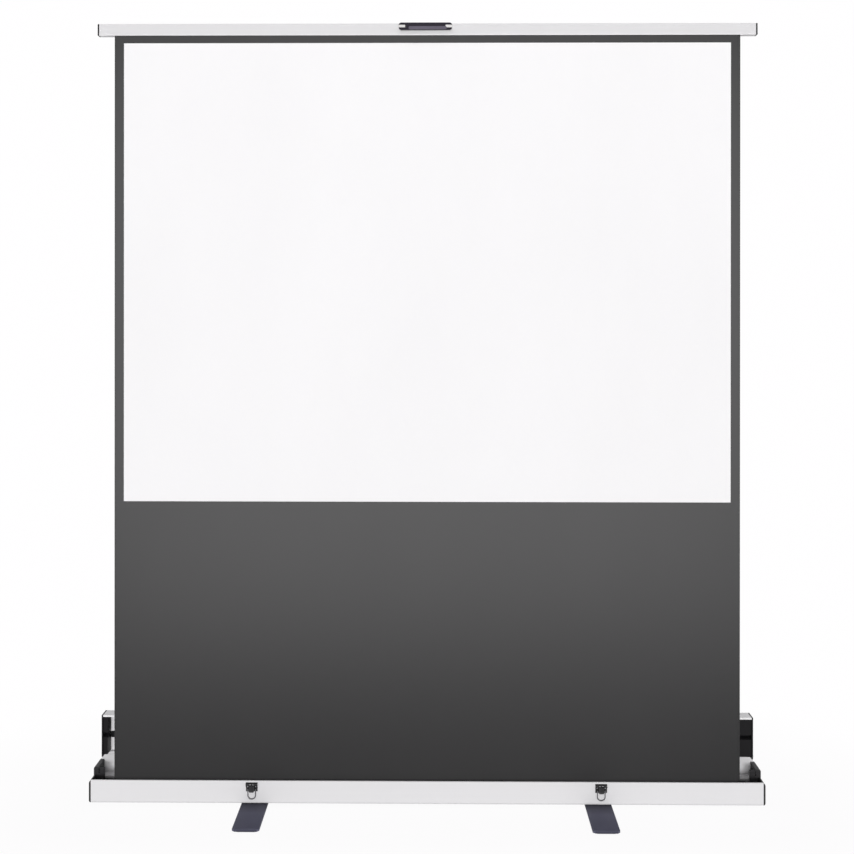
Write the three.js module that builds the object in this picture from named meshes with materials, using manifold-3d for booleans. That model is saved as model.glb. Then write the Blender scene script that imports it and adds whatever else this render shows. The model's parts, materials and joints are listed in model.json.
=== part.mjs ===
// A floor-standing pull-up projection screen. The cloth rises from a spring roller in a lidded case,
// lifted by a two-stage scissor behind it. It is set up for use, with the lid open and the feet swung out.
// Millimetres and degrees. X runs to the right, Y to the back and Z up from the floor.
import * as THREE from "three";
import { mergeVertices } from "three/addons/utils/BufferGeometryUtils.js";
import Module from "manifold-3d";

const wasm = await Module();
wasm.setup();

// Clearances
const RUN = 0.4; // between pieces that turn or slide on each other
const SEAT = 0.3; // between pieces that are cut to fit each other

// Screen cloth
const VIEW_WIDTH = 1620;
const VIEW_HEIGHT = 1225;
const VIEW_BASE = 814.5; // the picture's lower edge over the floor
const VIEW_LAYER = 0.5;
const SIDE_BORDER = 25;
const TOP_BORDER = 20.5;
const CLOTH = 0.8;
const CLOTH_SETBACK = 11; // from the front of the case to the cloth

// Feet
const PAD_HEIGHT = 3;
const PAD_WIDTH = 50;
const PAD_LENGTH = 30;
const PAD_INSET = 7; // from the tip of the foot
const FOOT_THICKNESS = 6.7;
const FOOT_LENGTH = 460;
const FOOT_WIDTH = 70;
const FOOT_SPACING = 916; // from pivot to pivot
const FOOT_CORNER = 14;
const FOOT_BEVEL = 2;
const FOOT_BOLT = 5; // radius of the shank, a stud under the case
const BOLT_HEAD_RADIUS = 9;
const BOLT_HEAD_HEIGHT = 2.6;

// Case
const CASE_DEPTH = 120;
const CASE_WALL = 2.5;
const CASE_FRONT_HEIGHT = 61;
const CASE_REAR_HEIGHT = 88;
const CASE_EDGE = 6; // radius of the long lower edges
const CASE_LIP = 2.5; // the front wall's folded-in top edge
const CASE_END_ROOM = 61; // from the edge of the cloth to the end of the extrusion
const CAP_FLANGE = 6;
const CAP_DROP = 4; // the end cap's front part under the front wall's top edge
const CAP_CHAMFER = 4;
const TOWER_WIDTH = 25;
const TOWER_DEPTH = 66;
const TOWER_HEIGHT = 77; // over the underside of the case
const TOWER_FRONT = 4; // thickness of the front wall, behind which the closed lid's end cap comes down
const TOWER_ROUND = 5;

// Roller
const TUBE_RADIUS = 17;
const TUBE_WALL = 1.5;
const TUBE_OVERHANG = 7; // past the edge of the cloth
const FULL_ROLL_RADIUS = 25; // with all the cloth wound in
const ROLL_FLOOR_GAP = 1.5;
const WRAP_TURNS = 2; // turns that stay on the roller with the screen up
const WRAP_GAP = 0.5;
const PLUG_DEPTH = 16;
const PLUG_FLANGE = 3;
const STUB_RADIUS = 5;
const BRACKET_WALL = 4;
const BRACKET_HALF_DEPTH = 17;
const BRACKET_FOOT = 14;
const BRACKET_GAP = 13; // from the plug's flange to the bracket's upright
const SPRING_HOUSING = 13; // width of the moulded right bracket
const SPRING_HOUSING_TOP = 62; // over the floor
const ARBOR_RADIUS = 9.2;
const ARBOR_LENGTH = 240;
const SPRING_WIRE = 1.3; // radius
const SPRING_TURNS = 22;
const SPRING_PITCH = 9;

// Lifting scissor
const OPEN_ANGLE = 55.12; // of the arms over the level, with the screen up
const ARM_HEIGHT = 20;
const ARM_THICKNESS = 8;
const ARM_GAP = 2; // between the front and the rear layer of arms
const ARM_WEB = 3.2;
const ARM_RIM = 4;
const ROLL_TO_ARM = 3.7; // from the full roll to the front layer of arms
const PIN_RADIUS = 4;
const PIN_HEAD = 8;
const PIN_HEAD_HEIGHT = 2;
const PIN_COLLAR = 9;
const PIVOT_HEIGHT = 28.5; // of the lowest pivots over the floor of the case
const PIVOT_BRACKET_HALF = 16;
const PIVOT_BRACKET_WALL = 3;
const PIVOT_BRACKET_FOOT = 10;
const SLIDER_LENGTH = 36;
const SLIDER_DEPTH = 13;
const SLIDER_CHAMFER = 3;
const SLIDER_END_ROOM = 8; // left over at the end of the track with the screen down
const TRACK_WALL = 2;
const TRACK_HALF = 10; // half of the clear height in the case's track
const TRACK_LIP = 3;
const TRACK_TO_ARM = 4; // from the rear layer of arms to the case's track

// Top bar
const BAR_HEIGHT = 31;
const BAR_DEPTH = 24; // of the front box
const BAR_WALL = 2;
const BAR_ROUND = 3;
const BAR_BEAD = 0.7; // how far the front's low bead stands out
const BAR_BEAD_HEIGHT = 5;
const BAR_LINE = 0.8; // depth of the line along the front's upper edge
const BAR_LINE_DROP = 6.5; // of the line under the top
const BAR_TO_CLOTH = 4; // the front of the bar before the cloth
const BAR_OVERHANG = 41; // past the edge of the cloth
const BAR_CAP = 4;
const BAR_TRACK_DEPTH = 19;
const BAR_TRACK_HALF = 9;
const ROD_RADIUS = 2.7;
const ROD_HEIGHT = 8; // of the rod's middle over the underside of the bar
const GROOVE_SLOT = 2.8;
const PIVOT_BLOCK_LENGTH = 40;
const PIVOT_BOSS = 6;

// Handle
const HANDLE_LENGTH = 142;
const HANDLE_OFFSET = -3.5; // of the handle's middle from the middle of the bar
const HANDLE_HEIGHT = 19.2;
const HANDLE_BASE = 11.2; // of the grip over the underside of the bar
const HANDLE_THICKNESS = 7;
const HANDLE_ROUND = 7; // at the grip's corners
const HANDLE_BEVEL = 1.6;
const HANDLE_STANDOFF = 9; // between the bar and the grip
const LUG_LENGTH = 19;
const LUG_HEIGHT = 7;
const LUG_REACH = 15; // from the front of the bar
const LUG_ROUND = 3.5;
const LUG_PIN = 2; // radius of the pin through the grip's forked end
const LUG_PIN_REACH = 4; // of the pin into each side of the fork

// Lid
const LID_WALL = 2;
const LID_END_GAP = 12; // from the end of the case's extrusion to the end of the lid's
const LID_SKIRT = 44.5;
const LID_LIP = 5;
const LID_REACH = 114; // from the hinge to the outside of the skirt
const LID_RISE = 12; // from the hinge to the outside of the panel
const LID_TAIL = 6; // of the panel past the hinge
const HINGE_INSET = 4; // of the hinge from the back of the case
const HINGE_LIFT = 6; // of the hinge over the rear wall
const HINGE_BEAD = 3.5;
const HOOK_WALL = 2.2;
const HOOK_FROM = -35;
const HOOK_TO = 160;
const LID_CAP_END = 4;
const LID_CAP_LEFT = 12; // depth of the left cap in the lid
const LID_CAP_RIGHT = 34; // depth of the right cap in the lid
const LID_CAP_WALL = 2.5;
const LID_CAP_HEEL = 0.5; // of the end plate's lowest edge over the hinge
const LID_CAP_NOTCH = 1.3; // room round the tower's front wall
const LID_RIB = 1.6;
const LID_RIB_COUNT = 5;
const FOAM_HEIGHT = 17;
const FOAM_DEPTH = 6;
const FOAM_BASE = 41; // over the hinge
const NOTCH_MARGIN = 5; // round the handle

// Latches
const LATCH_SPACING = 930;
const LATCH_WIDTH = 31;
const LATCH_HEIGHT = 23.2;
const LATCH_TOP_DROP = 4.2; // of the plate under the front wall's top edge
const LATCH_WALL = 1.6;
const LATCH_EAR = 9; // reach of the ears from the wall
const LATCH_PIN_RADIUS = 1.5;
const LATCH_PIVOT_DROP = 4.8; // of the lever's pin under the top of the plate
const LATCH_PIVOT_REACH = 5.5; // of the lever's pin from the wall
const LEVER_BARREL = 3.2;
const LEVER_WIDTH = 14;
const LEVER_TONGUE = 2.4;
const LEVER_LIP = 2.6;
const BAIL_WIRE = 1.3; // radius
const BAIL_WIDTH = 23;
const BAIL_LENGTH = 31.5;
const BAIL_BEND = 4; // at the turned-in ends
const BAIL_ROUND = 9; // at the loop's low corners
const BAIL_PIVOT_DROP = 8; // under the lever's pin
const BAIL_PIVOT_BACK = 1.3; // nearer the wall than the lever's pin
const BAIL_END = 4; // of the wire in the lever
const KEEPER_WIDTH = 20;
const KEEPER_LENGTH = 18;
const KEEPER_HOOK = 6;

// Sizes that follow from these
const CLOTH_HALF = VIEW_WIDTH / 2 + SIDE_BORDER;
const CASE_FRONT = -CASE_DEPTH / 2;
const CASE_REAR = CASE_DEPTH / 2;
const CASE_BOTTOM = PAD_HEIGHT + FOOT_THICKNESS + SEAT;
const CASE_FLOOR = CASE_BOTTOM + CASE_WALL;
const FRONT_TOP = CASE_BOTTOM + CASE_FRONT_HEIGHT;
const REAR_TOP = CASE_BOTTOM + CASE_REAR_HEIGHT;
const CASE_HALF = CLOTH_HALF + CASE_END_ROOM;
const TOWER_INNER = CASE_HALF - TOWER_WIDTH;
const CLOTH_Y = CASE_FRONT + CLOTH_SETBACK;
const WRAP_PITCH = CLOTH + WRAP_GAP;
const WRAP_START = TUBE_RADIUS + SEAT + CLOTH / 2;
const WRAP_END = WRAP_START + WRAP_TURNS * WRAP_PITCH;
const ROLLER_Y = CLOTH_Y + WRAP_END;
const ROLLER_Z = CASE_FLOOR + FULL_ROLL_RADIUS + ROLL_FLOOR_GAP;
const TUBE_HALF = CLOTH_HALF + TUBE_OVERHANG;
const PLUG_OUTER = TUBE_HALF + PLUG_FLANGE;
const FRONT_LAYER = ROLLER_Y + FULL_ROLL_RADIUS + ROLL_TO_ARM;
const FRONT_LAYER_BACK = FRONT_LAYER + ARM_THICKNESS;
const REAR_LAYER = FRONT_LAYER_BACK + ARM_GAP;
const REAR_LAYER_BACK = REAR_LAYER + ARM_THICKNESS;
const TRACK_FRONT = REAR_LAYER_BACK + TRACK_TO_ARM;
const PIVOT_Z = CASE_FLOOR + PIVOT_HEIGHT;
const BAR_BOTTOM = VIEW_BASE + VIEW_HEIGHT + TOP_BORDER;
const BAR_PIVOT_Z = BAR_BOTTOM + BAR_HEIGHT / 2;
const STAGE_RISE = (BAR_PIVOT_Z - PIVOT_Z) / 2;
const ANGLE = THREE.MathUtils.degToRad(OPEN_ANGLE);
const ARM_PITCH = STAGE_RISE / Math.sin(ANGLE);
const ARM_SPAN = ARM_PITCH * Math.cos(ANGLE);
const PIVOT_X = TOWER_INNER - SLIDER_LENGTH / 2 - SLIDER_END_ROOM - ARM_PITCH;
const ELBOW_Z = PIVOT_Z + STAGE_RISE;
const BAR_FRONT = CLOTH_Y - BAR_TO_CLOTH;
const BAR_BACK = BAR_FRONT + BAR_DEPTH;
const BAR_TRACK_BACK = BAR_BACK + BAR_TRACK_DEPTH;
const BAR_HALF = CLOTH_HALF + BAR_OVERHANG;
const HINGE_Y = CASE_REAR - HINGE_INSET;
const HINGE_Z = REAR_TOP + HINGE_LIFT;
const LID_HALF = CASE_HALF - LID_END_GAP;

// Finishes
const ALUMINIUM = { color: 0xd4d4d8, roughness: 0.42, metalness: 0.85 };
const STEEL = { color: 0xb4b6ba, roughness: 0.32, metalness: 0.95 };
const NICKEL = { color: 0xc8c8cc, roughness: 0.2, metalness: 1 };
const BLACK_PLASTIC = { color: 0x1b1c20, roughness: 0.55, metalness: 0 };
const BLACK_STEEL = { color: 0x202126, roughness: 0.4, metalness: 0.4 };
const FOOT_PAINT = { color: 0x2c2f38, roughness: 0.5, metalness: 0.2 };
const GRIP_PLASTIC = { color: 0x2a2830, roughness: 0.6, metalness: 0 };
const RUBBER = { color: 0x161616, roughness: 0.9, metalness: 0 };
const FOAM = { color: 0x18181a, roughness: 1, metalness: 0 };
const NYLON = { color: 0xe6e4dc, roughness: 0.5, metalness: 0 };
const BLACK_CLOTH = { color: 0x2b2b2e, roughness: 0.85, metalness: 0 };
const WHITE_CLOTH = { color: 0xf2f2f0, roughness: 0.8, metalness: 0 };

// Solids from closed geometry

/** A solid that can be cut and joined. */
function solidOf(geometry) {
  const bare = geometry.clone();
  bare.deleteAttribute("normal");
  bare.deleteAttribute("uv");
  const merged = mergeVertices(bare, 1e-4);
  const mesh = new wasm.Mesh({
    numProp: 3,
    vertProperties: merged.attributes.position.array,
    triVerts: merged.index.array,
  });
  return new wasm.Manifold(mesh);
}

/** The geometry of a solid, with flat facets. */
function geometryOf(solid) {
  const mesh = solid.getMesh();
  const geometry = new THREE.BufferGeometry();
  geometry.setAttribute("position", new THREE.BufferAttribute(mesh.vertProperties, 3));
  geometry.setIndex(new THREE.BufferAttribute(mesh.triVerts, 1));
  const flat = geometry.toNonIndexed();
  flat.computeVertexNormals();
  return flat;
}

function cut(geometry, ...tools) {
  return geometryOf(tools.reduce((left, tool) => left.subtract(solidOf(tool)), solidOf(geometry)));
}

function join(geometry, ...others) {
  return geometryOf(others.reduce((sum, other) => sum.add(solidOf(other)), solidOf(geometry)));
}

// Extrusions, blocks and turned pieces

const UNIT_X = new THREE.Vector3(1, 0, 0);
const UNIT_Y = new THREE.Vector3(0, 1, 0);
const UNIT_Z = new THREE.Vector3(0, 0, 1);
const PROFILE_TO_X = new THREE.Matrix4().makeBasis(UNIT_Y, UNIT_Z, UNIT_X);
const PROFILE_TO_Y = new THREE.Matrix4().makeBasis(UNIT_X, UNIT_Z, UNIT_Y.clone().negate());

function extrude(shape, depth, curveSegments) {
  return new THREE.ExtrudeGeometry(shape, { depth, bevelEnabled: false, curveSegments });
}

/** A profile drawn in Y and Z, run along X. */
function alongX(shape, from, to, segments = 6) {
  return extrude(shape, to - from, segments).applyMatrix4(PROFILE_TO_X).translate(from, 0, 0);
}

/** A profile drawn in X and Z, run along Y. */
function alongY(shape, from, to, segments = 6) {
  return extrude(shape, to - from, segments).applyMatrix4(PROFILE_TO_Y).translate(0, to, 0);
}

/** An outline drawn in X and Y, run along Z. */
function alongZ(shape, from, to, segments = 6) {
  return extrude(shape, to - from, segments).translate(0, 0, from);
}

function block(low, high) {
  const size = high.map((value, axis) => value - low[axis]);
  const middle = high.map((value, axis) => (value + low[axis]) / 2);
  return new THREE.BoxGeometry(...size).translate(...middle);
}

/** A turned piece about Y, from pairs of radius and place along the axis. */
function turnedY(profile, segments = 16) {
  const points = profile.map(([radius, place]) => new THREE.Vector2(radius, place));
  return new THREE.LatheGeometry(points, segments);
}

function turnedX(profile, segments) {
  return turnedY(profile, segments).rotateZ(-Math.PI / 2);
}

function turnedZ(profile, segments) {
  return turnedY(profile, segments).rotateX(Math.PI / 2);
}

/** A solid round bar as a turned profile that steps through radius, from and to. */
function stepped(...steps) {
  const ends = steps.flatMap(([radius, from, to]) => [[radius, from], [radius, to]]);
  return [[0, steps[0][1]], ...ends, [0, steps.at(-1)[2]]];
}

function rod(radius, from, to) {
  return stepped([radius, from, to]);
}

function outline(points) {
  return new THREE.Shape(points.map(([x, y]) => new THREE.Vector2(x, y)));
}

function rectangle(left, low, right, high) {
  return outline([[left, low], [right, low], [right, high], [left, high]]);
}

function circle(x, y, radius) {
  return new THREE.Shape().absarc(x, y, radius, 0, 2 * Math.PI, false);
}

/** A bar outline with round ends, its end centres at from and to on the level line. */
function roundBar(from, to, radius) {
  const shape = new THREE.Shape();
  shape.absarc(to, 0, radius, -Math.PI / 2, Math.PI / 2, false);
  shape.absarc(from, 0, radius, Math.PI / 2, 1.5 * Math.PI, false);
  shape.closePath();
  return shape;
}

function polygon(radius, sides) {
  const corner = (index) => (2 * Math.PI * index) / sides;
  const points = Array.from({ length: sides }, (_, index) => corner(index));
  return outline(points.map((angle) => [radius * Math.cos(angle), radius * Math.sin(angle)]));
}

/** The least clear distance between the turns of a winding, measured on its middle line. */
function leastGap(points, turnPoints, thickness) {
  const half = Math.floor(turnPoints / 2);
  let least = Infinity;
  points.forEach((point, index) => {
    points.slice(index + half).forEach((other) => {
      least = Math.min(least, point.distanceTo(other));
    });
  });
  return least - thickness;
}

function part(name, geometry, finish) {
  const mesh = new THREE.Mesh(geometry, new THREE.MeshStandardMaterial(finish));
  mesh.name = name;
  return mesh;
}

function group(...children) {
  return new THREE.Group().add(...children);
}

// Case

/** The case's extrusion: front wall, floor, the slide block's track and the rear wall with its hinge bead. */
function caseShell() {
  const inner = CASE_REAR - CASE_WALL;
  const frontInner = CASE_FRONT + CASE_WALL;
  const lipInner = TRACK_FRONT + TRACK_WALL;
  const shape = new THREE.Shape();
  shape.moveTo(CASE_FRONT, FRONT_TOP);
  shape.lineTo(CASE_FRONT, CASE_BOTTOM + CASE_EDGE);
  shape.absarc(CASE_FRONT + CASE_EDGE, CASE_BOTTOM + CASE_EDGE, CASE_EDGE, Math.PI, 1.5 * Math.PI, false);
  shape.lineTo(CASE_REAR - CASE_EDGE, CASE_BOTTOM);
  shape.absarc(CASE_REAR - CASE_EDGE, CASE_BOTTOM + CASE_EDGE, CASE_EDGE, 1.5 * Math.PI, 2 * Math.PI, false);
  shape.lineTo(CASE_REAR, REAR_TOP);
  shape.lineTo(HINGE_Y + CASE_WALL / 2, HINGE_Z);
  shape.lineTo(HINGE_Y - CASE_WALL / 2, HINGE_Z);
  shape.lineTo(inner, REAR_TOP);
  for (const side of [1, -1]) {
    const outer = PIVOT_Z + side * (TRACK_HALF + TRACK_WALL);
    const clear = PIVOT_Z + side * TRACK_HALF;
    const lip = PIVOT_Z + side * (TRACK_HALF - TRACK_LIP);
    const flange = [
      [inner, outer],
      [TRACK_FRONT, outer],
      [TRACK_FRONT, lip],
      [lipInner, lip],
      [lipInner, clear],
      [inner, clear],
    ];
    const walked = side > 0 ? flange : flange.reverse();
    walked.forEach(([y, z]) => shape.lineTo(y, z));
  }
  shape.lineTo(inner, CASE_FLOOR);
  shape.lineTo(frontInner, CASE_FLOOR);
  shape.lineTo(frontInner, FRONT_TOP - CASE_LIP);
  shape.lineTo(frontInner + CASE_LIP, FRONT_TOP - CASE_LIP);
  shape.lineTo(frontInner + CASE_LIP, FRONT_TOP);
  shape.closePath();
  const bead = alongX(circle(HINGE_Y, HINGE_Z, HINGE_BEAD), -CASE_HALF, CASE_HALF);
  return join(alongX(shape, -CASE_HALF, CASE_HALF), bead);
}

/** The right end cap: a flange over the case's end and a tower, slotted and open behind for the lid's cap. */
function caseEndCap() {
  const top = FRONT_TOP - CAP_DROP;
  const towerTop = CASE_BOTTOM + TOWER_HEIGHT;
  const towerBack = CASE_REAR - CASE_WALL - SEAT;
  const towerFront = towerBack - TOWER_DEPTH;
  const towerBase = PIVOT_Z + TRACK_HALF + TRACK_WALL + SEAT;
  const flange = new THREE.Shape();
  flange.moveTo(CASE_FRONT, top - CAP_CHAMFER);
  flange.lineTo(CASE_FRONT, CASE_BOTTOM + CASE_EDGE);
  flange.absarc(CASE_FRONT + CASE_EDGE, CASE_BOTTOM + CASE_EDGE, CASE_EDGE, Math.PI, 1.5 * Math.PI, false);
  flange.lineTo(CASE_REAR - CASE_EDGE, CASE_BOTTOM);
  flange.absarc(CASE_REAR - CASE_EDGE, CASE_BOTTOM + CASE_EDGE, CASE_EDGE, 1.5 * Math.PI, 2 * Math.PI, false);
  flange.lineTo(CASE_REAR, towerTop);
  flange.lineTo(towerFront + TOWER_ROUND, towerTop);
  flange.absarc(towerFront + TOWER_ROUND, towerTop - TOWER_ROUND, TOWER_ROUND, Math.PI / 2, Math.PI, false);
  flange.lineTo(towerFront, top);
  flange.lineTo(CASE_FRONT + CAP_CHAMFER, top);
  flange.closePath();
  const tower = new THREE.Shape();
  tower.moveTo(towerFront, towerBase);
  tower.lineTo(towerBack, towerBase);
  tower.lineTo(towerBack, towerTop);
  tower.lineTo(towerFront + TOWER_ROUND, towerTop);
  tower.absarc(towerFront + TOWER_ROUND, towerTop - TOWER_ROUND, TOWER_ROUND, Math.PI / 2, Math.PI, false);
  tower.closePath();
  const bayOuter = LID_HALF + LID_CAP_END + RUN;
  const bay = block(
    [TOWER_INNER - TOWER_FRONT, towerFront + TOWER_FRONT, towerBase - TOWER_FRONT],
    [bayOuter, towerBack + TOWER_FRONT, towerTop + TOWER_FRONT],
  );
  const slot = block(
    [LID_HALF - RUN, towerFront - TOWER_FRONT, HINGE_Z + LID_RISE - LID_SKIRT - 2 * RUN],
    [bayOuter, towerBack, towerTop + TOWER_FRONT],
  );
  const outer = alongX(flange, CASE_HALF, CASE_HALF + CAP_FLANGE);
  return join(cut(alongX(tower, TOWER_INNER, CASE_HALF), bay, slot), outer);
}

// Roller

/** An upright plate or block that carries one end of the roller, with a round top and a bore. */
function bracketUpright(from, to, top, bore) {
  const shape = new THREE.Shape();
  const round = BRACKET_HALF_DEPTH / 2;
  shape.moveTo(ROLLER_Y - BRACKET_HALF_DEPTH, CASE_FLOOR);
  shape.lineTo(ROLLER_Y + BRACKET_HALF_DEPTH, CASE_FLOOR);
  shape.lineTo(ROLLER_Y + BRACKET_HALF_DEPTH, top - round);
  shape.absarc(ROLLER_Y + BRACKET_HALF_DEPTH - round, top - round, round, 0, Math.PI / 2, false);
  shape.absarc(ROLLER_Y - BRACKET_HALF_DEPTH + round, top - round, round, Math.PI / 2, Math.PI, false);
  shape.closePath();
  shape.holes.push(new THREE.Path().absarc(ROLLER_Y, ROLLER_Z, bore, 0, 2 * Math.PI, true));
  return alongX(shape, from, to, 5);
}

function leftRollerBracket() {
  const inside = -PLUG_OUTER - BRACKET_GAP;
  const top = ROLLER_Z + BRACKET_HALF_DEPTH;
  const upright = bracketUpright(inside - BRACKET_WALL, inside, top, STUB_RADIUS + RUN);
  const foot = block(
    [inside - BRACKET_WALL, ROLLER_Y - BRACKET_HALF_DEPTH, CASE_FLOOR],
    [inside + BRACKET_FOOT, ROLLER_Y + BRACKET_HALF_DEPTH, CASE_FLOOR + BRACKET_WALL],
  );
  return join(upright, foot);
}

function rightRollerBracket() {
  const inside = PLUG_OUTER + BRACKET_GAP - BRACKET_WALL;
  return bracketUpright(inside, inside + SPRING_HOUSING, SPRING_HOUSING_TOP, STUB_RADIUS + SEAT);
}

/** The torsion spring's helix about the arbor. */
class SpringLine extends THREE.Curve {
  constructor(start, radius) {
    super();
    this.start = start;
    this.radius = radius;
  }

  getPoint(share, target = new THREE.Vector3()) {
    const turn = 2 * Math.PI * SPRING_TURNS * share;
    const along = this.start + SPRING_PITCH * SPRING_TURNS * share;
    return target.set(along, this.radius * Math.cos(turn), this.radius * Math.sin(turn));
  }
}

function torsionSpring(start) {
  const sides = 5;
  const turnSteps = 8;
  const clear = (ARBOR_RADIUS + SEAT + SPRING_WIRE) / Math.cos(Math.PI / turnSteps);
  const line = new SpringLine(start, clear);
  const steps = SPRING_TURNS * turnSteps;
  const gap = leastGap(line.getSpacedPoints(steps), turnSteps, 2 * SPRING_WIRE);
  console.log(`torsion spring: least gap between turns ${gap.toFixed(2)} mm`);
  return new THREE.ExtrudeGeometry(polygon(SPRING_WIRE, sides), { steps, extrudePath: line });
}

/** The turns of cloth left on the roller, a spiral whose end runs up into the sheet at the front. */
function clothWrap() {
  const turnSteps = 28;
  const steps = WRAP_TURNS * turnSteps;
  const middle = Array.from({ length: steps + 1 }, (_, index) => {
    const share = index / steps;
    const angle = Math.PI + 2 * Math.PI * WRAP_TURNS * (1 - share);
    const radius = THREE.MathUtils.lerp(WRAP_START, WRAP_END, share);
    return { angle, radius };
  });
  const edge = (offset) =>
    middle.map(({ angle, radius }) => [
      (radius + offset) * Math.cos(angle),
      (radius + offset) * Math.sin(angle),
    ]);
  const line = edge(0).map(([y, z]) => new THREE.Vector2(y, z));
  console.log(`cloth on the roller: least gap ${leastGap(line, turnSteps, CLOTH).toFixed(2)} mm`);
  const band = outline([...edge(CLOTH / 2), ...edge(-CLOTH / 2).reverse()]);
  return alongX(band, -CLOTH_HALF, CLOTH_HALF);
}

function roller() {
  const inside = TUBE_RADIUS - TUBE_WALL;
  const tube = new THREE.Shape().absarc(0, 0, TUBE_RADIUS, 0, 2 * Math.PI, false);
  tube.holes.push(new THREE.Path().absarc(0, 0, inside, 0, 2 * Math.PI, true));
  const plugRadius = inside - SEAT;
  const plugInner = TUBE_HALF - PLUG_DEPTH;
  const bracketOuter = PLUG_OUTER + BRACKET_GAP + BRACKET_WALL;
  const leftPlug = stepped(
    [STUB_RADIUS, -bracketOuter, -PLUG_OUTER],
    [TUBE_RADIUS, -PLUG_OUTER, -TUBE_HALF],
    [plugRadius, -TUBE_HALF, -plugInner],
  );
  const bore = ARBOR_RADIUS + RUN;
  const rightPlug = [
    [bore, plugInner],
    [plugRadius, plugInner],
    [plugRadius, TUBE_HALF],
    [TUBE_RADIUS, TUBE_HALF],
    [TUBE_RADIUS, PLUG_OUTER],
    [bore, PLUG_OUTER],
    [bore, plugInner],
  ];
  const housingOuter = PLUG_OUTER + BRACKET_GAP - BRACKET_WALL + SPRING_HOUSING;
  const housingInner = housingOuter - SPRING_HOUSING - SEAT;
  const arborStart = TUBE_HALF - ARBOR_LENGTH;
  const arbor = stepped([ARBOR_RADIUS, arborStart, housingInner], [STUB_RADIUS, housingInner, housingOuter]);
  const turning = group(
    part("roller_tube", alongX(tube, -TUBE_HALF, TUBE_HALF, 14), ALUMINIUM),
    part("roller_plug_left", turnedX(leftPlug, 24), BLACK_PLASTIC),
    part("roller_plug_right", turnedX(rightPlug, 24), BLACK_PLASTIC),
    part("cloth_wrap", clothWrap(), BLACK_CLOTH),
    part("spring_arbor", turnedX(arbor, 16), STEEL),
    part("torsion_spring", torsionSpring(arborStart + SPRING_PITCH), STEEL),
  );
  turning.position.set(0, ROLLER_Y, ROLLER_Z);
  return group(
    turning,
    part("roller_bracket_left", leftRollerBracket(), STEEL),
    part("roller_bracket_right", rightRollerBracket(), BLACK_PLASTIC),
  );
}

// Cloth

function cloth() {
  const back = CLOTH_Y + CLOTH / 2;
  const front = CLOTH_Y - CLOTH / 2;
  const top = BAR_BOTTOM + ROD_HEIGHT - ROD_RADIUS - SEAT;
  const sheet = block([-CLOTH_HALF, front, ROLLER_Z + SEAT], [CLOTH_HALF, back, top]);
  const viewTop = VIEW_BASE + VIEW_HEIGHT;
  const view = block(
    [-VIEW_WIDTH / 2, front - VIEW_LAYER, VIEW_BASE],
    [VIEW_WIDTH / 2, front, viewTop],
  );
  return group(part("screen_cloth", sheet, BLACK_CLOTH), part("viewing_surface", view, WHITE_CLOTH));
}

// Feet

/** One foot with its pads and the stud that it turns on, swung out across the case. */
function foot(side) {
  const half = FOOT_LENGTH / 2;
  const wide = FOOT_WIDTH / 2;
  const low = PAD_HEIGHT;
  const high = PAD_HEIGHT + FOOT_THICKNESS;
  const plan = outline([
    [-wide + FOOT_CORNER, -half],
    [wide - FOOT_CORNER, -half],
    [wide, -half + FOOT_CORNER],
    [wide, half - FOOT_CORNER],
    [wide - FOOT_CORNER, half],
    [-wide + FOOT_CORNER, half],
    [-wide, half - FOOT_CORNER],
    [-wide, -half + FOOT_CORNER],
  ]);
  const bar = new THREE.ExtrudeGeometry(plan, {
    depth: FOOT_THICKNESS - FOOT_BEVEL,
    bevelThickness: FOOT_BEVEL / 2,
    bevelSize: FOOT_BEVEL,
    bevelOffset: -FOOT_BEVEL,
    bevelSegments: 1,
  }).translate(0, 0, low + FOOT_BEVEL / 2);
  const headTop = low + SEAT + BOLT_HEAD_HEIGHT;
  const bore = turnedZ(rod(FOOT_BOLT + RUN, low - FOOT_BEVEL, high + FOOT_BEVEL));
  const recess = turnedZ(rod(BOLT_HEAD_RADIUS + RUN, low - FOOT_BEVEL, headTop + SEAT));
  const stud = stepped([BOLT_HEAD_RADIUS, low + SEAT, headTop], [FOOT_BOLT, headTop, CASE_BOTTOM]);
  const pads = ["front", "rear"].map((end, index) => {
    const outward = index ? 1 : -1;
    const near = half - PAD_INSET - PAD_LENGTH;
    const far = half - PAD_INSET;
    const [from, to] = outward > 0 ? [near, far] : [-far, -near];
    const pad = block([-PAD_WIDTH / 2, from, 0], [PAD_WIDTH / 2, to, PAD_HEIGHT]);
    return part(`foot_pad_${side}_${end}`, pad, RUBBER);
  });
  return group(
    part(`foot_${side}`, cut(bar, bore, recess), FOOT_PAINT),
    part(`foot_bolt_${side}`, turnedZ(stud), STEEL),
    ...pads,
  );
}

// Latches

/** The latch's plate, folded round into two ears that hold the lever's pin. The origin is the pin. */
function latchPlate() {
  const wall = LATCH_PIVOT_REACH;
  const half = LATCH_WIDTH / 2;
  const top = LATCH_PIVOT_DROP;
  const bottom = top - LATCH_HEIGHT;
  const plate = block([-half, wall - LATCH_WALL, bottom], [half, wall, top]);
  const earShape = new THREE.Shape();
  const nose = LATCH_EAR - LATCH_PIVOT_REACH;
  earShape.moveTo(wall, top);
  earShape.lineTo(0, top);
  earShape.absarc(0, 0, nose, Math.PI / 2, 1.5 * Math.PI, false);
  earShape.lineTo(wall, bottom / 2);
  earShape.closePath();
  earShape.holes.push(new THREE.Path().absarc(0, 0, LATCH_PIN_RADIUS + SEAT, 0, 2 * Math.PI, true));
  const ears = [-half, half - LATCH_WALL].map((from) => alongX(earShape, from, from + LATCH_WALL, 5));
  return join(plate, ...ears);
}

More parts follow.
